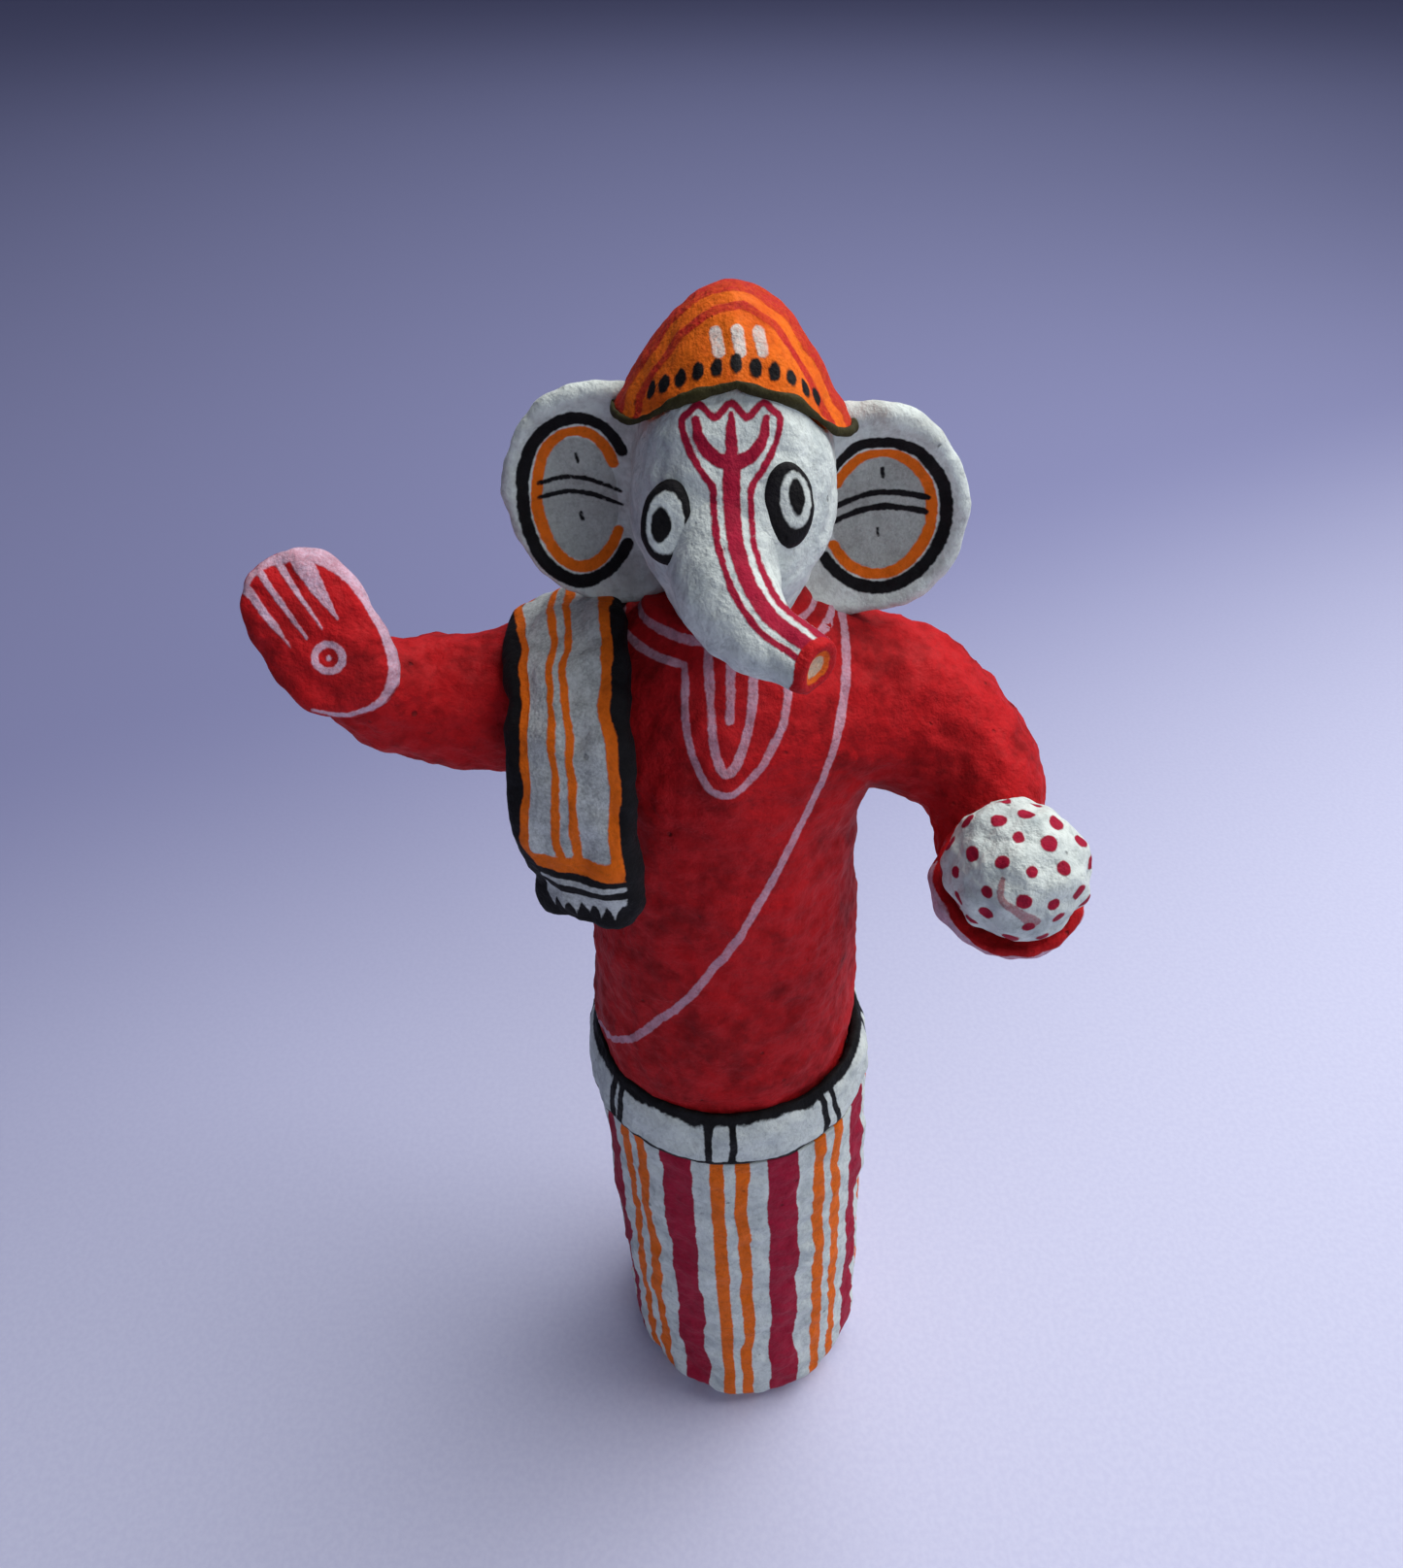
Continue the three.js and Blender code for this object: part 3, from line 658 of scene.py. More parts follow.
def dhoti():
    bend = np.linspace(0, math.pi / 2, 20)
    flat = FOOT_RADIUS - FOOT_ROUNDING
    under = [[r, 0] for r in np.linspace(1, flat, 22, endpoint=False)]
    corner = [
        [flat + FOOT_ROUNDING * math.sin(a), FOOT_ROUNDING * (1 - math.cos(a))] for a in bend
    ]
    wall = smooth_line([
        [FOOT_RADIUS, FOOT_ROUNDING], [HIP_RADIUS, 50], [HIP_RADIUS, 78],
        [HIP_RADIUS - 0.4, WAIST_Z - 0.3],
    ])
    lid = [[r, WAIST_Z - 0.3] for r in np.linspace(HIP_RADIUS - 1, 2, 14)]
    skin = turned([*under, *corner[:-1], *wall, *lid], shift=column_shift)
    z = skin[0][:, 2]
    free = np.clip(z / 3, 0, 1) * np.clip((WAIST_Z - 0.4 - z) / 1.5, 0.15, 1)
    skin = swell(skin, lumps(skin[0], 1.1) * free)
    points = skin[0]
    middle = column_shift(points[:, 2])
    around = azimuth(points, middle)
    radius = np.hypot(points[:, 0] - middle, points[:, 1])
    waver = 0.3 * waves(points, 17, 11) + 0.06 * waves(points, 6, 12)
    crimson = np.full(len(points), FAR)
    orange = np.full(len(points), FAR)
    pitch = 360 / WIDE_STRIPES
    shrink = radius / HIP_RADIUS
    for here in FIRST_STRIPE_ANGLE + pitch * np.arange(WIDE_STRIPES):
        gap = np.abs(np.radians(wrap(around - here)) * radius + waver)
        crimson = np.minimum(crimson, gap - WIDE_HALF * shrink)
        for side in (-1, 1):
            thin = here + pitch * (0.5 + side * THIN_STRIPE_OFFSET)
            gap = np.abs(np.radians(wrap(around - thin)) * radius + waver * (1 + 0.5 * side))
            orange = np.minimum(orange, gap - THIN_HALF * shrink)
    drip = stroke(points, [[-31, -5, 13], [-27, -13, 11.5], [-23, -18, 11.8]], 0.3)
    orange = together(orange, drip)
    off = np.where(points[:, 2] < 0.6, FAR, -FAR)
    paints = {"orange": np.maximum(orange, off), "crimson": np.maximum(crimson, off)}
    material = poster_paint(
        "striped_column", WHITE, GREY_WASH, [("orange", ORANGE, 1.0), ("crimson", CRIMSON, 1.0)]
    )
    return piece("dhoti", skin, paints, material)


# ---- belt -------------------------------------------------------------------------------
BELT_PAIR_STEP = 47
BELT_PAIR_START = -4.6


def belt():
    inner = KURTA_OUTLINE[0, 0] + 0.4
    outer = BELT_RADIUS
    section = smooth_line([
        [inner, WAIST_Z + 0.6], [outer - 1.6, WAIST_Z + 0.2], [outer - 0.2, WAIST_Z + 1.2],
        [outer, WAIST_Z + 4], [outer - 0.4, BELT_TOP_Z - 4.5], [outer - 1.5, BELT_TOP_Z - 1.6],
        [inner + 1.2, BELT_TOP_Z - 0.1], [inner, BELT_TOP_Z - 0.8],
    ], 0.5)
    back = np.linspace(section[-1], section[0], 14)[1:-1]
    section = np.vstack([section, back])
    angle = np.linspace(0, 2 * math.pi, round(2 * math.pi * outer / STEP), endpoint=False)
    rings = np.stack([
        np.outer(np.cos(angle), section[:, 0]),
        np.outer(np.sin(angle), section[:, 0]),
        np.tile(section[:, 1], (len(angle), 1)),
    ], axis=2)
    skin = closed_ring(rings)
    skin = swell(skin, lumps(skin[0], 0.8))
    points = skin[0]
    around = azimuth(points, 0)
    radius = np.hypot(points[:, 0], points[:, 1])
    waver = 0.25 * waves(points, 9, 21)
    edge = 0.35 * waves(points, 12, 22)
    top = radius - (outer - 1.35 + 0.3 * edge)
    top = only(top, points[:, 2] > (WAIST_Z + BELT_TOP_Z) / 2)
    bottom = points[:, 2] - (WAIST_Z + 1.9 + 0.6 * edge)
    lines = np.full(len(points), FAR)
    for k in range(-3, 5):
        spread = 4.7 if k == 0 else 2.6 + 0.5 * k
        for side in (-1, 1):
            place = BELT_PAIR_START + k * BELT_PAIR_STEP + side * spread
            gap = np.abs(np.radians(wrap(around - place)) * radius + waver)
            lines = np.minimum(lines, gap - 0.72)
    paints = {"black": together(top, bottom, lines)}
    material = poster_paint("belt_paint", WHITE, GREY_WASH, [("black", BLACK, 1.0)])
    return piece("belt", skin, paints, material)


# ---- kurta: the red body with its painted neckline and sacred thread --------------------
NECK_TIP_ANGLE = 1.0  # degrees round from the front
NECK_POWER = (2.5, 1.5)  # how steeply the painted point opens, right and left
NECK_SLOPE_STEPS = 120
# Each line round the neck: collar height, height of its point, and half angles right and left.
NECK_LINES = [(206.3, 190.0, (10, 17), 0.7), (203.4, 186.8, (22, 34), 0.6)]
NECK_DASH = [[4, NECK_Z - 3.5], [2, NECK_Z - 10.5]]
# The thread is where the body meets a bowed sheet that slants from shoulder to hip.
THREAD_SHOULDER = (17.5, 202.5)
THREAD_HIP = (-26.0, 116.0)
THREAD_BOW = 1.5
THREAD_HALF = 0.75


def neck_line(collar_z, tip_z, reach):
    """A ring round the neck that comes down to a point in front."""
    turn = np.linspace(-180, 180, NECK_SLOPE_STEPS + 1)
    half = np.where(turn < 0, reach[0], reach[1])
    power = np.where(turn < 0, NECK_POWER[0], NECK_POWER[1])
    height = tip_z + (collar_z - tip_z) * np.minimum(np.abs(turn) / half, 1) ** power
    return on_kurta(np.column_stack([turn + NECK_TIP_ANGLE, height]))


def thread(skin):
    """Distance to the painted thread, measured along the surface."""
    points = skin[0]
    drop = THREAD_SHOULDER[1] - THREAD_HIP[1]
    width = THREAD_SHOULDER[0] - THREAD_HIP[0]
    down = np.clip((THREAD_SHOULDER[1] - points[:, 2]) / drop, 0, None)
    gap = points[:, 0] - THREAD_SHOULDER[0] + width * down**THREAD_BOW
    slope = -width * THREAD_BOW * down ** (THREAD_BOW - 1) / drop
    across = unit(np.column_stack([np.ones(len(points)), np.zeros(len(points)), slope]))
    steepness = np.sqrt(1 + slope**2)
    facing = np.sum(normals(*skin) * across, axis=1)
    along_surface = np.sqrt(np.clip(1 - facing**2, 0.1, 1))
    return np.abs(gap) / (steepness * along_surface) - THREAD_HALF


def kurta():
    outline = smooth_line(KURTA_OUTLINE)
    floor = [[r, WAIST_Z] for r in np.linspace(2, KURTA_OUTLINE[0, 0] - 1, 12)]
    lid = [[r, NECK_Z] for r in np.linspace(KURTA_OUTLINE[-1, 0] - 1, 2, 8)]
    skin = turned([*floor, *outline, *lid], shift=lambda z: KURTA_SHIFT + 0 * z)
    bare = skin[0]
    points = bare
    rise = lumps(points)
    rise += blend_rise(to_limb(points, RIGHT_ARM_PATH, RIGHT_ARM_RADII), SHOULDER_BLEND)
    rise += blend_rise(to_limb(points, LEFT_ARM_PATH, LEFT_ARM_RADII), ARMPIT_BLEND)
    rise *= np.clip((points[:, 2] - WAIST_Z - 6) / 8, 0.1, 1)
    skin = swell(skin, rise)
    lines = together(
        *[stroke(bare, neck_line(*shape), half) for *shape, half in NECK_LINES],
        stroke(bare, on_kurta(NECK_DASH), 0.7),
        thread(skin),
    )
    material = red_paint("kurta_paint", "mauve", THREAD_COVER)
    return piece("kurta", skin, {"mauve": lines}, material)


# ---- arms and hands ---------------------------------------------------------------------
def right_arm():
    skin = limb(RIGHT_ARM_PATH, RIGHT_ARM_RADII, 3, 2)
    points = skin[0]
    rise = lumps(points, 1.3) + blend_rise(to_kurta(points), SHOULDER_BLEND)
    rise += blend_rise(to_palm(points), HAND_BLEND)
    skin = swell(skin, rise)
    away = np.full(len(points), FAR)
    material = red_paint("right_arm_paint", "mauve", THREAD_COVER)
    return piece("right_arm", skin, {"mauve": away}, material)


def left_arm():
    skin = limb(LEFT_ARM_PATH, LEFT_ARM_RADII, 3, 3)
    points = skin[0]
    rise = lumps(points, 1.3) + blend_rise(to_kurta(points), ARMPIT_BLEND)
    skin = swell(skin, rise)
    lines = thread(skin)
    material = red_paint("left_arm_paint", "mauve", THREAD_COVER)
    return piece("left_arm", skin, {"mauve": lines}, material)


PALM_POWER = 2.3  # of the palm's rounded-box outline
PALM_RIM_SHARE = 0.95
PALM_THUMB_SIDE = (75, -140)  # degrees round the palm that the pale rim covers
PALM_TIPS = (75, 126)
FINGER_GAP_HALF = [0.6, 0.5, 0.45, 1.3]  # from the little finger to the thumb
PALM_RING_CENTRE = [-0.5, -3.2]


def palm_edge(degrees):
    """Points of the palm's outline, a little inside its edge."""
    turn = np.radians(degrees)
    way = np.column_stack([np.cos(turn), np.sin(turn)])
    size = np.sum(np.abs(way) ** PALM_POWER, axis=1) ** (-1 / PALM_POWER)
    return PALM_RIM_SHARE * PALM_SIZE[:2] * way * size[:, None]


def finger_gap(chart, k):
    """The bare, tapering gap beside painted finger k."""
    top = palm_edge(np.array([122 - 19 * k]))[0]
    foot = np.array([-4 + 2.5 * k, 0.5])
    half = FINGER_GAP_HALF[k]
    return stroke(chart, [top, (top + foot) / 2, foot], [half, 0.8 * half, 0.12])


def right_hand():
    directions, quads, triangles = ball(54)
    local = boxed(directions, PALM_POWER) * PALM_SIZE
    axes = basis(PALM_NORMAL, PALM_FINGERS)
    skin = outward(local @ axes + PALM_CENTRE, quads, triangles)
    skin = swell(skin, lumps(skin[0], 0.9))
    chart = local[:, :2]
    face = local[:, 2] > -0.6
    ring = np.abs(np.linalg.norm(chart - PALM_RING_CENTRE, axis=1) - 1.85) - 0.5
    white = together(
        stroke(chart, palm_edge(np.linspace(*PALM_THUMB_SIDE, 13)), np.linspace(1.2, 0.2, 13)),
        stroke(chart, palm_edge(np.linspace(*PALM_TIPS, 5)), np.linspace(0.6, 0.35, 5)),
        *[finger_gap(chart, k) for k in range(len(FINGER_GAP_HALF))],
        ring,
        oval(chart, PALM_RING_CENTRE, 0.5),
    )
    material = red_paint("palm_paint", "white", HAND_COVER)
    return piece("right_hand", skin, {"white": only(white, face)}, material)


def left_hand():
    outline = smooth_line([
        [0.3, -CUP_DEPTH], [0.45 * CUP_RADIUS, -0.92 * CUP_DEPTH], [0.8 * CUP_RADIUS, -2.9],
        [CUP_RADIUS, 0.2], [1.02 * CUP_RADIUS, CUP_RIM - 0.9], [0.94 * CUP_RADIUS, CUP_RIM],
        [0.8 * CUP_RADIUS, 2.2], [0.4 * CUP_RADIUS, 0.4], [0.3, 0],
    ], FINE_STEP)
    local, quads, triangles = turned(outline, FINE_STEP)
    axes = basis(CUP_NORMAL, [0, 1, 0])
    seat = SWEET_CENTRE - axes[2] * (SWEET_RADIUS - 1.2)
    skin = outward(local @ axes + seat, quads, triangles)
    points = skin[0]
    rise = lumps(points, 1.1) + blend_rise(to_limb(points, LEFT_ARM_PATH, LEFT_ARM_RADII), HAND_BLEND)
    skin = swell(skin, rise)
    rim = np.column_stack([np.hypot(local[:, 0], local[:, 1]), local[:, 2]])
    uneven = 0.3 * waves(points, 8, 41)
    white = oval(rim, [1.03 * CUP_RADIUS, CUP_RIM - 1.6], [0.9, 1.0]) + uneven
    white = only(white, local[:, 1] < 0.4 * CUP_RADIUS)
    material = red_paint("cup_paint", "white", HAND_COVER)
    return piece("left_hand", skin, {"white": white}, material)


SWEET_ROWS = [(88, 1), (63, 6), (40, 10), (17, 12), (-7, 12), (-31, 11), (-56, 7)]


def sweet():
    directions, quads, triangles = ball(62)
    skin = outward(directions * SWEET_RADIUS + SWEET_CENTRE, quads, triangles)
    relief = lumps(skin[0], 1.0) + 0.16 * waves(skin[0], 4.6, 51) - 0.2
    skin = swell(skin, relief)
    draw = np.random.default_rng(7)
    spots = np.full(len(directions), FAR)
    for row, (elevation, count) in enumerate(SWEET_ROWS):
        for k in range(count):
            turn = math.radians(360 * (k + 0.5 * (row % 2)) / count + draw.uniform(-7, 7))
            rise = math.radians(elevation + draw.uniform(-5, 5))
            level = math.cos(rise)
            centre = [level * math.sin(turn), -level * math.cos(turn), math.sin(rise)]
            size = draw.uniform(0.85, 1.3)
            spots = np.minimum(spots, SWEET_RADIUS * np.linalg.norm(directions - centre, axis=1) - size)
    smear_line = unit(np.array([[-0.42, -0.74, 0.52], [-0.42, -0.84, 0.3], [-0.2, -0.95, 0.15],
                                [0.02, -0.99, -0.05]]))
    smear = stroke(directions * SWEET_RADIUS, smear_line * SWEET_RADIUS, [0.45, 0.5, 0.8, 1.1])
    paints = {"smear": smear, "crimson": spots}
    layers = [("smear", CRIMSON, 0.7), ("crimson", CRIMSON, 1.0)]
    material = poster_paint("sweet_paint", WHITE, GREY_WASH, layers, pit_darkness=1.4)
    return piece("sweet", skin, paints, material)


# ---- scarf ------------------------------------------------------------------------------
SCARF_STRIPES = [(-6.9, 0.7), (-1.9, 0.62), (0.5, 0.62), (6.2, 0.85)]
SCARF_FIELD = (-6.3, 5.6)
SCARF_BAR = (11.4, 14.4)  # the orange bar above the fringe, as heights from the hem
SCARF_LINE = (9.0, 10.0)
SCARF_STRIP = (5.6, 7.5)
SCARF_TEETH = 6
SCARF_PAINT_SHIFT = 0.9
SCARF_DRIFT = 1.7  # the front end hangs this far towards the middle of the body
SCARF_SKEW = 1.3  # and its hem rises this much from its middle to that side


def scarf():
    line = smooth_line(SCARF_PATH, STEP)
    tangents = unit(np.gradient(line, axis=0))
    share = np.linspace(0, 1, len(line))
    length = STEP * (len(line) - 1)
    turn = SCARF_TURN * np.cos(math.pi * share)
    tilt = SCARF_TOP_TILT * np.sin(math.pi * share) ** 4
    across = unit(np.column_stack([np.cos(turn), -np.sin(turn), tilt]))
    out = unit(np.cross(across, tangents))
    loop = np.linspace(0, 2 * math.pi, 240)
    section = smooth_line(np.column_stack([
        np.sign(np.cos(loop)) * np.abs(np.cos(loop)) ** 0.45 * SCARF_HALF_WIDTH,
        np.sign(np.sin(loop)) * np.abs(np.sin(loop)) ** 0.6 * SCARF_THICKNESS / 2,
    ]), FINE_STEP)[:-1]
    side = section[:, 0] / SCARF_HALF_WIDTH
    face = section[:, 1] * 2 / SCARF_THICKNESS
    rings = np.zeros((len(line), len(section), 3))
    widths = np.zeros((len(line), len(section)))
    for i, centre in enumerate(line):
        from_end = min(i, len(line) - 1 - i) * STEP
        corner = np.clip((4.2 - from_end) / 4.2, 0, 1)
        half_width = SCARF_HALF_WIDTH * (1 - 0.24 * corner**2.4)
        hang = np.clip(1 - i * STEP / 22, 0, 1)
        half_depth = SCARF_THICKNESS / 2 * (1 - np.clip((1.6 - from_end) / 1.6, 0, 0.9) ** 2)
        bulge = 0.9 * (1 - side**2)
        widths[i] = side * half_width
        middle = centre + out[i] * SCARF_THICKNESS / 2 + across[i] * SCARF_DRIFT * hang
        rings[i] = middle + np.outer(side * half_width * (1 - 0.1 * hang), across[i])
        rings[i] += np.outer(SCARF_SKEW * side * hang**2, tangents[i])
        rings[i] += np.outer(face * half_depth + bulge, out[i])
    skin = closed_skin(rings, rings[0].mean(axis=0), rings[-1].mean(axis=0))
    points = skin[0]
    sunk = np.minimum(to_limb(points, RIGHT_ARM_PATH, RIGHT_ARM_RADII), to_kurta(points))
    skin = swell(skin, lumps(points, 0.9) + 0.3 * (sunk > 0) * waves(points, 8, 61))
    pole = [0.0, 0.0]
    w = np.concatenate([widths.ravel(), pole])
    along = np.concatenate([np.repeat(np.arange(len(line)) * STEP, len(section)), [0, length]])
    hem = np.minimum(along, length - along)
    top_side = np.concatenate([np.tile(face > -0.3, len(line)), [True, True]])
    waver = 0.3 * waves(points, 14, 62) + 0.14 * waves(points, 5, 63)
    w = w - SCARF_PAINT_SHIFT
    across_now = w + waver
    in_bar = np.maximum(SCARF_BAR[0] - hem, hem - SCARF_BAR[1]) + 0.4 * waver
    inside = np.maximum(SCARF_FIELD[0] - across_now, across_now - SCARF_FIELD[1])
    wide = np.maximum(SCARF_FIELD[0] - 1.1 - across_now, across_now - SCARF_FIELD[1] - 1.4)
    field = np.maximum(inside, SCARF_BAR[1] - 0.5 - hem)
    orange = np.maximum(in_bar, wide)
    for centre, half in SCARF_STRIPES:
        stripe = np.abs(across_now - centre) - half
        orange = np.minimum(orange, np.maximum(stripe, SCARF_BAR[0] - hem))
    thin_line = np.maximum(np.maximum(SCARF_LINE[0] - hem, hem - SCARF_LINE[1]), wide)
    strip = np.maximum(np.maximum(SCARF_STRIP[0] - hem, hem - SCARF_STRIP[1]), wide)
    pitch = (SCARF_FIELD[1] - SCARF_FIELD[0] + 2) / SCARF_TEETH
    teeth = np.full(len(w), FAR)
    for k in range(SCARF_TEETH):
        place = SCARF_FIELD[0] - 1 + pitch * (k + 0.5)
        tip = 2.6 + 0.5 * (k % 2)
        rise = np.clip((hem - tip) / (SCARF_STRIP[0] - tip), 0, 1)
        tooth = np.abs(w + 0.3 * waver - place) - 0.5 * pitch * rise**1.6
        tooth = np.maximum(tooth, np.maximum(tip - hem, hem - SCARF_STRIP[0] - 0.3))
        teeth = np.minimum(teeth, tooth)
    white = together(field, thin_line, strip, teeth)
    paints = {"white": only(white, top_side), "orange": only(orange, top_side)}
    material = poster_paint("scarf_paint", BLACK, srgb(26, 24, 26),
                            [("white", srgb(200, 206, 204), 0.97), ("orange", ORANGE, 1.0)])
    return piece("scarf", skin, paints, material)


# ---- head and trunk ---------------------------------------------------------------------
# The three-petalled flower, across and up in the face chart. Its stem and side lines run down
# the trunk's upper left side.
FLOWER_X = 0.2
FLOWER_FOOT = -1.0
FLOWER_SHOULDER = 7.3
FLOWER_HALF = 6.0
PETALS = 3
PETAL_RISE = 1.8
PRONG_REACH = (4.3, 5.2)
PRONG_TOP = 7.2
CENTRE_PRONG_TOP = 7.8
STEM_TOP = 2.4
STEM_RIDGE = 0.5  # how far off the trunk's middle the stem runs, as a share of the radius
SIDE_GAP = (2.4, 1.8)  # from stem to side line, at the flower and at the tip
TRUNK_RED_TIP = 1.1


def trunk_line(gap):
    """A line down the trunk in the face chart, some way to the side of the stem."""
    middle = face_chart(np.array(TRUNK_PATH))
    tangent = unit(np.gradient(middle, axis=0))
    side = np.column_stack([-tangent[:, 1], tangent[:, 0]])
    ridge = STEM_RIDGE * np.minimum(np.arange(len(middle)) / 2, 1) * TRUNK_RADII
    return middle + side * (ridge + gap)[:, None]


def flower_outline():
    """Up the right side line, round the petals and down the left side line."""
    gap = np.linspace(*SIDE_GAP, len(TRUNK_PATH))
    share = np.linspace(0, 1, 5)
    half = SIDE_GAP[0] + (FLOWER_HALF - SIDE_GAP[0]) * np.sin(share * math.pi / 2)
    up = FLOWER_FOOT + (FLOWER_SHOULDER - FLOWER_FOOT) * share
    right = np.column_stack([FLOWER_X - half, up])
    left = np.column_stack([FLOWER_X + half, up])
    across = np.linspace(0, 1, 4 * PETALS + 1)[1:-1]
    petal = PETAL_RISE * (1 - np.cos(2 * math.pi * PETALS * across)) / 2
    top = np.column_stack([FLOWER_X + FLOWER_HALF * (2 * across - 1), FLOWER_SHOULDER + petal])
    return np.vstack([trunk_line(-gap)[::-1], right, top, left[::-1], trunk_line(gap)])


def prongs():
    """The mark inside the flower: a cup and a middle prong, as (line, half widths)."""
    turn = np.linspace(math.pi, 0, 9)
    cup = np.column_stack([
        FLOWER_X + PRONG_REACH[0] * np.cos(turn), PRONG_TOP - PRONG_REACH[1] * np.sin(turn),
    ])
    middle = [[FLOWER_X, up] for up in np.linspace(CENTRE_PRONG_TOP, STEM_TOP, 3)]
    return [(cup, 0.5 + 0.45 * np.sin(turn)), (middle, [0.3, 0.75, 0.9])]


def face_paint(skin, reach):
    """The flower and lines on a surface; low down only within reach of the trunk."""
    points = skin[0]
    chart = face_chart(points)
    facing = normals(*skin) @ [0, -math.cos(FACE_TILT), math.sin(FACE_TILT)] > 0
    near = to_limb(points, TRUNK_PATH, TRUNK_RADII) < reach
    front = facing & (near | (chart[:, 1] > -9))
    stem = np.vstack([[FLOWER_X, STEM_TOP], trunk_line(np.zeros(len(TRUNK_PATH)))])
    crimson = together(
        stroke(chart, flower_outline(), 0.44, 0.6),
        stroke(chart, stem, np.linspace(1.1, 0.9, len(stem)), 0.6),
        *[stroke(chart, line, half, 0.6) for line, half in prongs()],
    )
    return only(crimson, front)


def head():
    directions, quads, triangles = ball(110)
    local = boxed(directions, HEAD_POWER) * HEAD_RADII
    width, depth = head_taper(local / HEAD_RADII)
    local[:, 0] *= width
    local[:, 1] *= depth
    skin = outward(local + HEAD_CENTRE, quads, triangles)
    points = skin[0]
    rise = lumps(points, 0.8)
    rise += blend_rise(to_limb(points, TRUNK_PATH, TRUNK_RADII), TRUNK_BLEND)
    rise += 0.4 * blend_rise(to_ear(points, "right"), EAR_BLEND)
    rise += 0.4 * blend_rise(to_ear(points, "left"), EAR_BLEND)
    under_crown = points[:, 2] - crown_rim(np.arctan2(*(points[:, 1::-1] - CROWN_CENTRE[::-1]).T))[:, 2]
    rise -= 1.6 * np.clip(under_crown / 2, 0, 1)
    skin = swell(skin, rise)
    material = poster_paint("head_paint", WHITE, GREY_WASH, [("crimson", CRIMSON, 1.0)])
    return piece("head", skin, {"crimson": face_paint(skin, 2.2)}, material)


def trunk():
    skin = limb(TRUNK_PATH, TRUNK_RADII, 2, 0.5, FINE_STEP)
    points = skin[0]
    tip = np.array(TRUNK_PATH[-1])
    along = unit(tip - np.array(TRUNK_PATH[-2]))
    place = points - tip
    ahead = place @ along
    off_axis = np.linalg.norm(place - np.outer(ahead, along), axis=1)
    rise = lumps(points, 0.7) + blend_rise(to_head(points), TRUNK_BLEND)
    rise += 0.15 * np.exp(-((ahead + 0.4) / 1.6) ** 2) * (off_axis > 3)
    hollow = np.clip(1 - off_axis / 2.6, 0, 1) * (ahead > -0.5)
    points, quads, triangles = swell(skin, rise)
    points = points - along * (1.3 * hollow**0.7)[:, None]
    skin = (points, quads, triangles)
    uneven = 0.25 * waves(points, 5, 71)
    red = np.where(off_axis < 9, -TRUNK_RED_TIP - ahead + uneven, FAR)
    face = np.where(ahead > -0.6, off_axis, FAR)
    paints = {
        "crimson": face_paint(skin, FAR), "red": red, "orange": face - 2.35, "pale": face - 1.55,
    }
    layers = [("crimson", CRIMSON, 1.0), ("red", RED, 1.0), ("orange", ORANGE, 0.9),
              ("pale", PALE, 0.95)]
    material = poster_paint("trunk_paint", WHITE, GREY_WASH, layers)
    return piece("trunk", skin, paints, material)


# ---- ears -------------------------------------------------------------------------------
EAR_PAINT = {
    "right": {"ring": np.array([-21, 222.6]), "half": np.array([7.95, 12.25]), "open": 0, "thick": 0.36},
    "left": {"ring": np.array([22.3, 219.4]), "half": np.array([9.45, 11.35]), "open": 180, "thick": 0.5},
}
# Two bowed lines cross each ear's dish; heights are from the middle of its rings.
EAR_LINE_REACH = (0.75, -0.7)  # towards the head and away from it, in ring half widths
EAR_LINE_RISE = (1.1, 3.2, 2.7)
EAR_LINE_GAP = 2.3
EAR_DASH_RISE = (6.2, -2.9)
EAR_OPENING = 36  # half the angle that the painted rings leave open towards the head
EAR_RING_STEP = 1.95  # the orange ring lies this far inside the black one
EAR_BLACK_HALF = 0.9
EAR_ORANGE_HALF = 0.82
EAR_SIZE = 14  # the section is laid out in shares of this
EAR_MEAN_RADIUS = 15.5
EAR_STEP = 0.5


def ear_lines(paint):
    """The two lines across the dish, from the head outwards."""
    headward = math.cos(math.radians(paint["open"]))
    near, away = EAR_LINE_REACH
    across = paint["ring"][0] + headward * paint["half"][0] * np.array([near, 0, away])
    rise = paint["ring"][1] + np.array(EAR_LINE_RISE)
    return [np.column_stack([across, rise - drop]) for drop in (0, EAR_LINE_GAP)]


def ear_ring(paint, inset, opening):
    turn = np.radians(paint["open"] + np.linspace(opening, 360 - opening, 40))
    half = paint["half"] - inset
    return paint["ring"] + np.column_stack([half[0] * np.cos(turn), half[1] * np.sin(turn)])


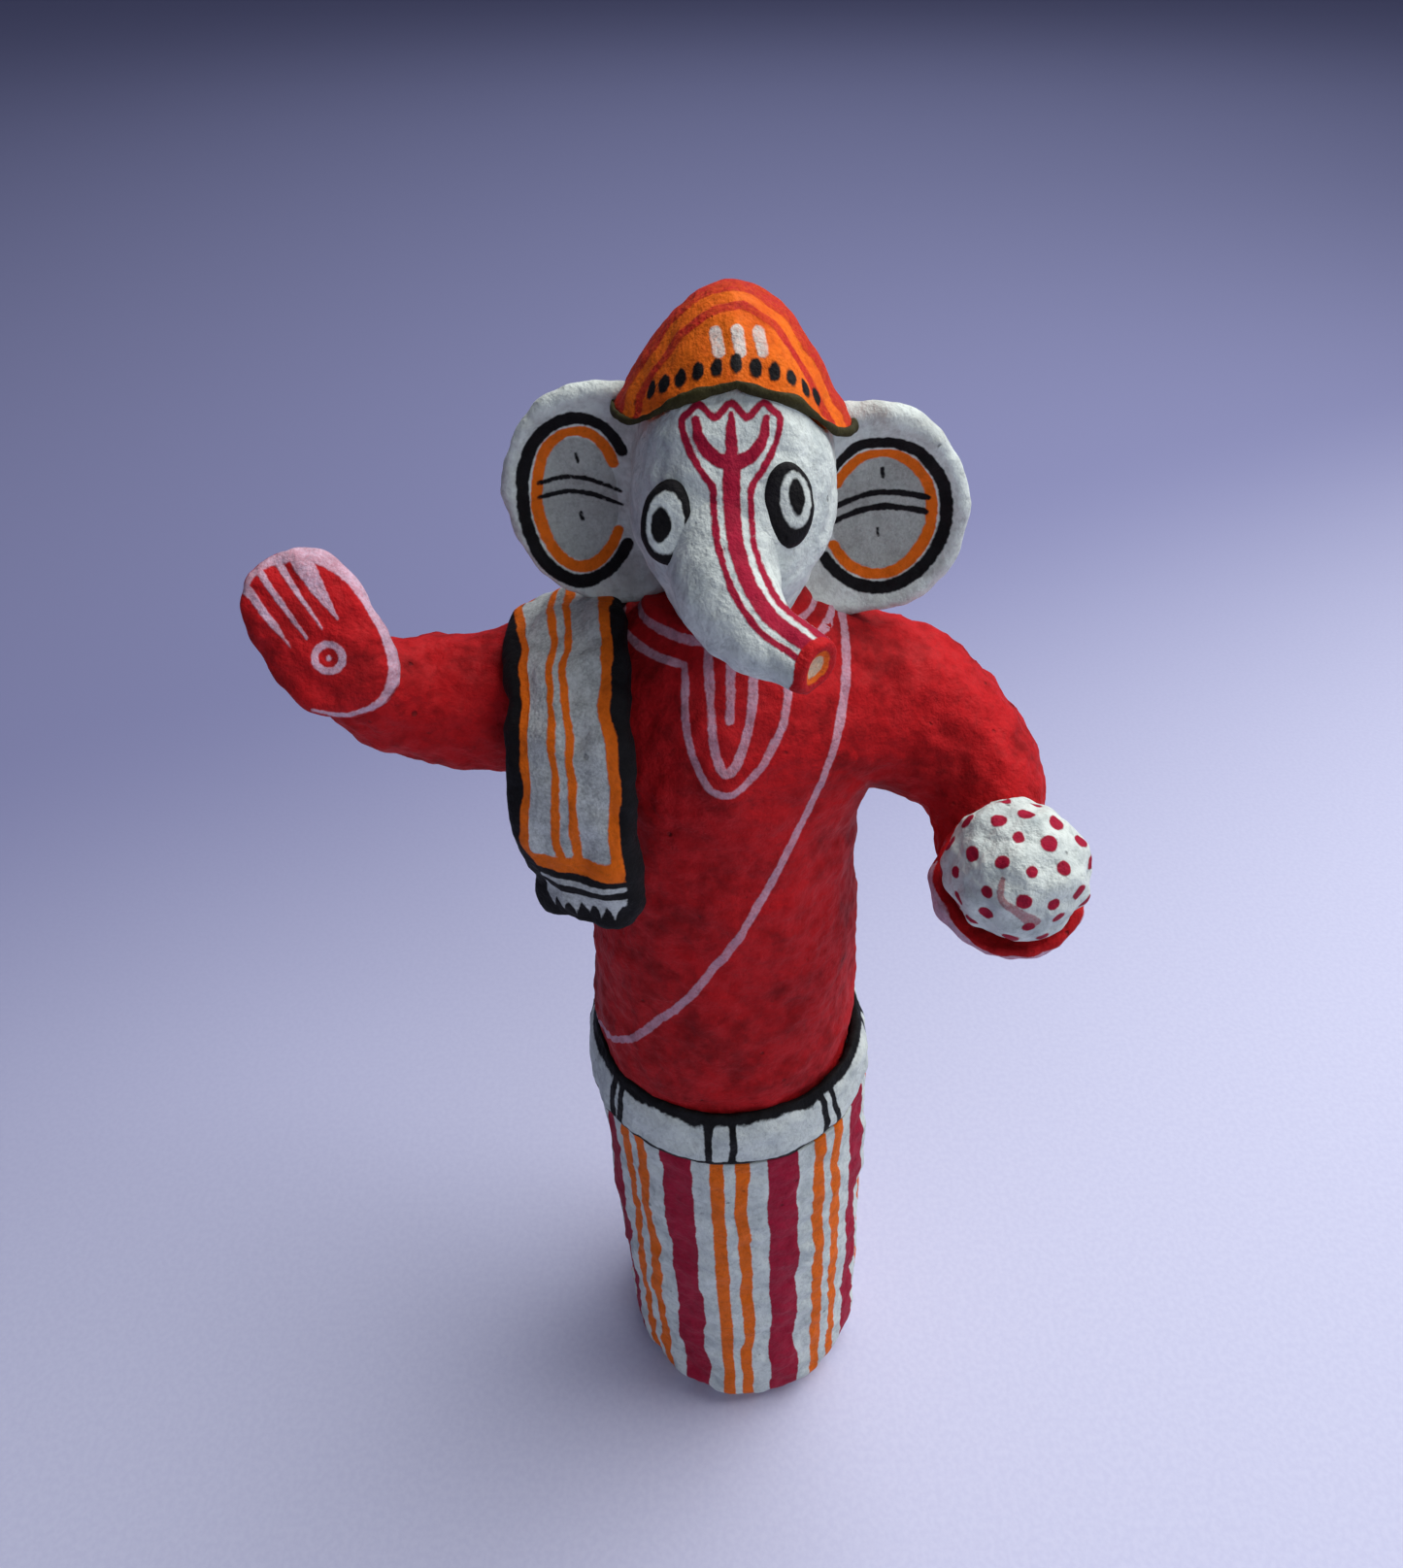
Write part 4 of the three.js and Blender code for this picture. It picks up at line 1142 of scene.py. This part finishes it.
def ear(side):
    shape = EARS[side]
    d = EAR_DEPTH
    section = smooth_line([
        [0.02, -1.1 * d / EAR_SIZE], [0.6, -1.0 * d / EAR_SIZE], [0.9, -0.55 * d / EAR_SIZE],
        [1, 0.1 * d / EAR_SIZE], [0.985, 0.6 * d / EAR_SIZE], [0.9, 0.82 * d / EAR_SIZE],
        [0.79, 0.45 * d / EAR_SIZE], [0.5, -0.1 * d / EAR_SIZE], [0.02, -0.25 * d / EAR_SIZE],
    ], EAR_STEP / EAR_SIZE)
    sides = round(2 * math.pi * EAR_MEAN_RADIUS / EAR_STEP)
    turn = np.linspace(0, 2 * math.pi, sides, endpoint=False)
    plump = np.ones(sides)
    for degrees, amount in shape["corners"]:
        plump += amount * np.clip(np.cos(turn - math.radians(degrees)), 0, 1) ** 5
    rings = np.stack([
        np.outer(section[:, 0], np.cos(turn) * plump) * shape["half"][0],
        np.repeat(-section[:, 1:] * EAR_SIZE, sides, axis=1),
        np.outer(section[:, 0], np.sin(turn) * plump) * shape["half"][1],
    ], axis=2) + shape["centre"]
    middle = shape["centre"]
    first = middle + [0, 1.1 * d, 0]
    last = middle + [0, 0.25 * d, 0]
    skin = closed_skin(rings, first, last)
    points = skin[0]
    rise = lumps(points, 0.8) + blend_rise(to_head(points), EAR_BLEND)
    paint = EAR_PAINT[side]
    chart = points[:, [0, 2]]
    row = np.repeat(np.arange(len(section)), sides)
    row = np.concatenate([row, [0, len(section) - 1]])
    front = row > np.argmax(section[:, 0])
    black = stroke(chart, ear_ring(paint, 0, EAR_OPENING), EAR_BLACK_HALF, 1.0)
    for line in ear_lines(paint):
        black = together(black, stroke(chart, line, paint["thick"]))
    for rise_from_ring in EAR_DASH_RISE:
        dash = paint["ring"] + [0, rise_from_ring]
        black = together(black, stroke(chart, [dash + [-0.1, 0.6], dash + [0.1, -0.6]], 0.28))
    orange = stroke(chart, ear_ring(paint, EAR_RING_STEP, EAR_OPENING - 5), EAR_ORANGE_HALF, 1.0)
    # Painted shade: a darker grey wash over the ear's dish inside the rings, standing in for the shade of
    # the hollow.
    dish_shade = oval(chart, paint["ring"], paint["half"] - EAR_RING_STEP) + 0.5
    paints = {
        "dish_shade": only(dish_shade, front), "orange": only(orange, front), "black": only(black, front),
    }
    skin = swell(skin, rise)
    # The first layer is the painted shade in the ear's dish.
    layers = [("dish_shade", srgb(122, 122, 112), 0.6), ("orange", ORANGE, 1.0), ("black", BLACK, 1.0)]
    material = poster_paint(side + "_ear_paint", WHITE, srgb(134, 130, 124), layers, pit_darkness=1.3)
    return piece(side + "_ear", skin, paints, material)


# ---- eyes -------------------------------------------------------------------------------
EYE_PAINT = {
    "right": {"white": [0.0, 0.0, 2.5, 3.9], "pupil": [-0.55, -0.2, 1.3, 2.2]},
    "left": {"white": [0.75, 0.5, 2.0, 3.4], "pupil": [0.95, 0.9, 1.0, 2.2]},
}


def eye(side):
    shape = EYES[side]
    outline = smooth_line([
        [0.3, -7.5], [0.95, -7], [1.02, -1.6], [0.98, -0.7], [0.86, -0.1], [0.5, 0.25], [0.01, 0.35],
    ], 0.09)
    sides = 110
    turn = np.linspace(0, 2 * math.pi, sides, endpoint=False)
    local = np.stack([
        np.outer(outline[:, 0], np.cos(turn)) * EYE_HALF[0],
        np.outer(outline[:, 0], np.sin(turn)) * EYE_HALF[1],
        np.repeat(outline[:, 1:], sides, axis=1),
    ], axis=2)
    direction = [math.sin(shape["turn"]), -math.cos(shape["turn"]), 0.34]
    axes = basis(direction, [0, 0, 1])
    rings = local @ axes + shape["centre"]
    first = rings[0].mean(axis=0)
    last = shape["centre"] + axes[2] * 0.36
    skin = closed_skin(rings, first, last)
    chart = np.vstack([local.reshape(-1, 3)[:, :2], [[0, 0], [0, 0]]])
    front = np.concatenate([local[..., 2].ravel() > -1.2, [False, True]])
    skin = swell(skin, lumps(skin[0], 0.5))
    white = EYE_PAINT[side]["white"]
    pupil = EYE_PAINT[side]["pupil"]
    paints = {
        "white": only(oval(chart, white[:2], white[2:]), front),
        "black": only(oval(chart, pupil[:2], pupil[2:]), front),
    }
    layers = [("white", WHITE, 1.0), ("black", BLACK, 1.0)]
    material = poster_paint(side + "_eye_paint", BLACK, srgb(30, 28, 32), layers, pit_darkness=0.3)
    return piece(side + "_eye", skin, paints, material)


# ---- crown ------------------------------------------------------------------------------
CROWN_DOTS = 11
CROWN_DASHES = 3
CROWN_DASH_MIDDLE = 1.3
CROWN_DASH_STEP = 2.65
CROWN_RED_WIDTH = 1.7
CROWN_LINE = (3.7, 0.55)  # the red line's distance in from the outline, and its half width
CROWN_DOT_REACH = 0.87
CROWN_DOT_HALF = [0.8, 1.2, 1.4]
CROWN_DOT_ANGLES = (-138, 96)  # the first dot's place, and how far round the row reaches


def crown_rim(angle):
    edge = smooth_line(CROWN_EDGE, 1.0)
    from_front = np.abs(wrap(np.degrees(angle) + 90))
    height = np.interp(from_front, edge[:, 0], edge[:, 1])
    height -= 0.5 * np.cos(angle) + 1.2 * np.cos(angle) ** 5
    return np.stack([
        CROWN_CENTRE[0] + CROWN_RADII[0] * np.cos(angle),
        CROWN_CENTRE[1] + CROWN_RADII[1] * np.sin(angle),
        height,
    ], axis=-1)


def crown_point(angle, reach):
    """A point of the dome: reach is 1 at the rim and 0 at the peak."""
    rim = crown_rim(angle)
    centre = np.array([*CROWN_CENTRE, 0])
    point = centre + (rim - centre) * np.expand_dims(reach, -1)
    point[..., 2] = rim[..., 2] + (CROWN_TOP_Z - rim[..., 2]) * (1 - reach**1.85)
    return point


def crown():
    sides = 200
    turn = np.linspace(0, 2 * math.pi, sides, endpoint=False)
    reach = np.linspace(0.02, 1, 44)[::-1]
    dome = np.stack([crown_point(turn, np.full(sides, r)) for r in reach])
    under = np.stack([
        (dome[0] - [*CROWN_CENTRE, 0]) * [r, r, 1] + [*CROWN_CENTRE, 0] for r in (0.3, 0.65, 0.9)
    ])
    rings = np.vstack([under, dome])
    floor = np.array([*CROWN_CENTRE, under[0][:, 2].mean()])
    top = np.array([*CROWN_CENTRE, CROWN_TOP_Z])
    skin = closed_skin(rings, floor, top)
    upper = np.concatenate([np.zeros(3 * sides), np.ones(len(reach) * sides), [0, 1]])
    skin = swell(skin, lumps(skin[0], 0.7) * upper)
    points = skin[0]
    mirrored = points.copy()
    mirrored[:, 1] = CROWN_CENTRE[1] - np.abs(points[:, 1] - CROWN_CENTRE[1])
    chart = face_chart(mirrored)
    crest = crest_line(chart)
    inward = stroke(chart, crest, 0, 1.0)
    uneven = 0.15 * waves(points, 7, 91)
    red = inward + uneven - CROWN_RED_WIDTH
    line = np.abs(inward + uneven - CROWN_LINE[0]) - CROWN_LINE[1]
    dots = np.full(len(points), FAR)
    for flip in (1, -1):
        for k in range(CROWN_DOTS):
            first, reach_round = CROWN_DOT_ANGLES
            angle = math.radians(first + reach_round * k / (CROWN_DOTS - 1)) * flip
            spot = crown_point(np.array([angle]), np.array([CROWN_DOT_REACH]))[0]
            dots = np.minimum(dots, oval(points, spot, CROWN_DOT_HALF))
    dashes = np.full(len(points), FAR)
    for k in range(CROWN_DASHES):
        x = CROWN_DASH_MIDDLE + CROWN_DASH_STEP * (k - (CROWN_DASHES - 1) / 2)
        dashes = np.minimum(dashes, stroke(chart, [[x - 0.2, 17.6], [x + 0.2, 15]], 0.72))
    paints = {"red": together(red, line), "white": dashes, "black": dots}
    layers = [("red", RED, 0.96), ("white", WHITE, 0.85), ("black", BLACK, 1.0)]
    material = poster_paint("crown_paint", ORANGE, srgb(196, 66, 14), layers)
    return piece("crown", skin, paints, material)


def crest_line(chart):
    """The upper outline of the dome in the face chart."""
    edges = np.linspace(chart[:, 0].min(), chart[:, 0].max(), 26)
    line = []
    for low, high in zip(edges, edges[1:]):
        inside = (chart[:, 0] >= low) & (chart[:, 0] <= high)
        line.append([(low + high) / 2, chart[inside, 1].max()])
    first, last = line[0], line[-1]
    return np.array([[edges[0], first[1] - 2], *line, [edges[-1], last[1] - 2]])


def crown_trim():
    turn = np.linspace(0, 2 * math.pi, 220, endpoint=False)
    line = crown_rim(turn)
    tangents = unit(np.roll(line, -1, axis=0) - np.roll(line, 1, axis=0))
    outwards = unit(line - [*CROWN_CENTRE, 0]) * [1, 1, 0]
    outwards = unit(outwards - (outwards * tangents).sum(axis=1, keepdims=True) * tangents)
    upward = np.cross(tangents, outwards)
    loop = np.linspace(0, 2 * math.pi, 18, endpoint=False)
    rings = (
        line[:, None, :]
        + TRIM_HALF[0] * np.cos(loop)[None, :, None] * outwards[:, None, :]
        + TRIM_HALF[1] * np.sin(loop)[None, :, None] * upward[:, None, :]
    )
    skin = closed_ring(rings)
    skin = swell(skin, lumps(skin[0], 0.9))
    away = np.full(len(skin[0]), FAR)
    material = poster_paint("trim_paint", OLIVE, BLACK, [("black", BLACK, 1.0)])
    return piece("crown_trim", skin, {"black": away}, material)


# ---- inner pieces keep their CAD shape --------------------------------------------------
def plain_stuff(name, first, second, size, height_mm, roughness, stretch=(1, 1, 1), metal=0.0):
    s = Shader(name)
    grain = s.noise(size, detail=4.0, roughness=0.6, stretch=stretch)
    colour = s.mix(s.ranged(grain, 0.35, 0.65), srgb(*first), srgb(*second))
    s.bsdf.inputs["Metallic"].default_value = metal
    return s.finish(colour, grain, height_mm, s.ranged(grain, 0.3, 0.7, roughness - 0.08, roughness))


def dress_inner_nodes():
    card = plain_stuff("rolled_card", (150, 126, 92), (118, 98, 70), 1.6, 0.1, 0.92)
    plaster = plain_stuff("plaster", (214, 208, 196), (190, 184, 172), 2.4, 0.15, 0.95)
    news = plain_stuff("newsprint", (178, 172, 160), (110, 108, 104), 1.2, 0.4, 0.95)
    bamboo = plain_stuff("bamboo", (206, 176, 112), (176, 140, 80), 0.8, 0.06, 0.6, (1, 1, 0.1))
    steel = plain_stuff("binding_wire", (150, 152, 156), (120, 122, 126), 0.6, 0.02, 0.42, metal=1.0)
    dress = {
        "core_tube": card, "tube_cap": card, "right_ear_card": card, "left_ear_card": card,
        "base_weight": plaster, "head_core": news, "neck_dowel": bamboo,
        "trunk_wire": steel, "right_arm_wire": steel, "left_arm_wire": steel,
    }
    for name, material in dress.items():
        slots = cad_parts[name].data.materials
        slots.clear()
        slots.append(material)


# ---- stage, light and camera ------------------------------------------------------------
CAMERA_PLACE = Vector((-3.8, -155.9, 293.7)) * MM
CAMERA_PITCH = math.radians(38.2)
CAMERA_YAW = math.radians(0.2)
CAMERA_ROLL = 0.02
FOCAL_SHARE = 1200 / 1615  # focal length over the long side of the picture
FLOOR_HALF = 9.0


def stage():
    mesh = bpy.data.meshes.new("floor")
    corners = [(-FLOOR_HALF, -FLOOR_HALF, 0), (FLOOR_HALF, -FLOOR_HALF, 0),
               (FLOOR_HALF, FLOOR_HALF, 0), (-FLOOR_HALF, FLOOR_HALF, 0)]
    mesh.from_pydata(corners, [], [(0, 1, 2, 3)])
    s = Shader("pale_floor")
    fibre = s.noise(1.4, detail=3.0)
    colour = s.mix(s.ranged(fibre, 0.3, 0.7), srgb(200, 203, 230), srgb(206, 209, 234))
    # Painted shade: the floor's colour darkens towards the back (+Y) and towards -X, the dimmer side.
    split = s.tree.nodes.new("ShaderNodeSeparateXYZ")
    s.link(s.place, split.inputs[0])
    away = s.maths("MULTIPLY_ADD", split.outputs["X"], -0.5, split.outputs["Y"])
    colour = s.mix(s.ranged(away, -60, 420), colour, srgb(136, 139, 180))
    mesh.materials.append(s.finish(colour, fibre, 0.03, 0.9))
    floor = bpy.data.objects.new("floor", mesh)
    bpy.context.scene.collection.objects.link(floor)


def area_light(name, place, target, size, power, colour):
    data = bpy.data.lights.new(name, "AREA")
    data.size = size
    data.energy = power
    data.color = colour
    light = bpy.data.objects.new(name, data)
    light.location = place
    aim = Vector(target) - Vector(place)
    light.rotation_euler = aim.to_track_quat("-Z", "Y").to_euler()
    bpy.context.scene.collection.objects.link(light)


def lights():
    middle = (0, 0, 0.15)
    area_light("key", (0.5, 0.14, 1.0), middle, 0.8, 11.5, (1.0, 0.98, 0.97))
    area_light("fill", (0.45, -0.85, 0.6), middle, 0.6, 2.0, (0.9, 0.94, 1.0))
    area_light("far", (0.3, 1.5, 1.5), (0, 1.7, 0), 1.6, 11, (0.95, 0.97, 1.0))
    world = bpy.data.worlds.new("room")
    world.use_nodes = True
    background = world.node_tree.nodes["Background"]
    background.inputs["Color"].default_value = srgb(196, 200, 230)
    background.inputs["Strength"].default_value = 0.19
    bpy.context.scene.world = world


def camera():
    data = bpy.data.cameras.new("camera")
    data.lens = data.sensor_width * FOCAL_SHARE
    data.clip_start = 0.01
    made = bpy.data.objects.new("camera", data)
    down = Matrix.Rotation(math.pi / 2 - CAMERA_PITCH, 4, "X")
    turn = Matrix.Rotation(CAMERA_YAW, 4, "Z")
    roll = Matrix.Rotation(-CAMERA_ROLL, 4, "Z")
    made.matrix_world = Matrix.Translation(CAMERA_PLACE) @ turn @ down @ roll
    bpy.context.scene.collection.objects.link(made)
    bpy.context.scene.camera = made
    bpy.context.scene.view_settings.view_transform = "Standard"


# ---- the idol ---------------------------------------------------------------------------
dhoti()
belt()
kurta()
right_arm()
left_arm()
right_hand()
left_hand()
sweet()
scarf()
head()
trunk()
for ear_side in ("right", "left"):
    ear(ear_side)
    eye(ear_side)
crown()
crown_trim()
dress_inner_nodes()
stage()
lights()
camera()
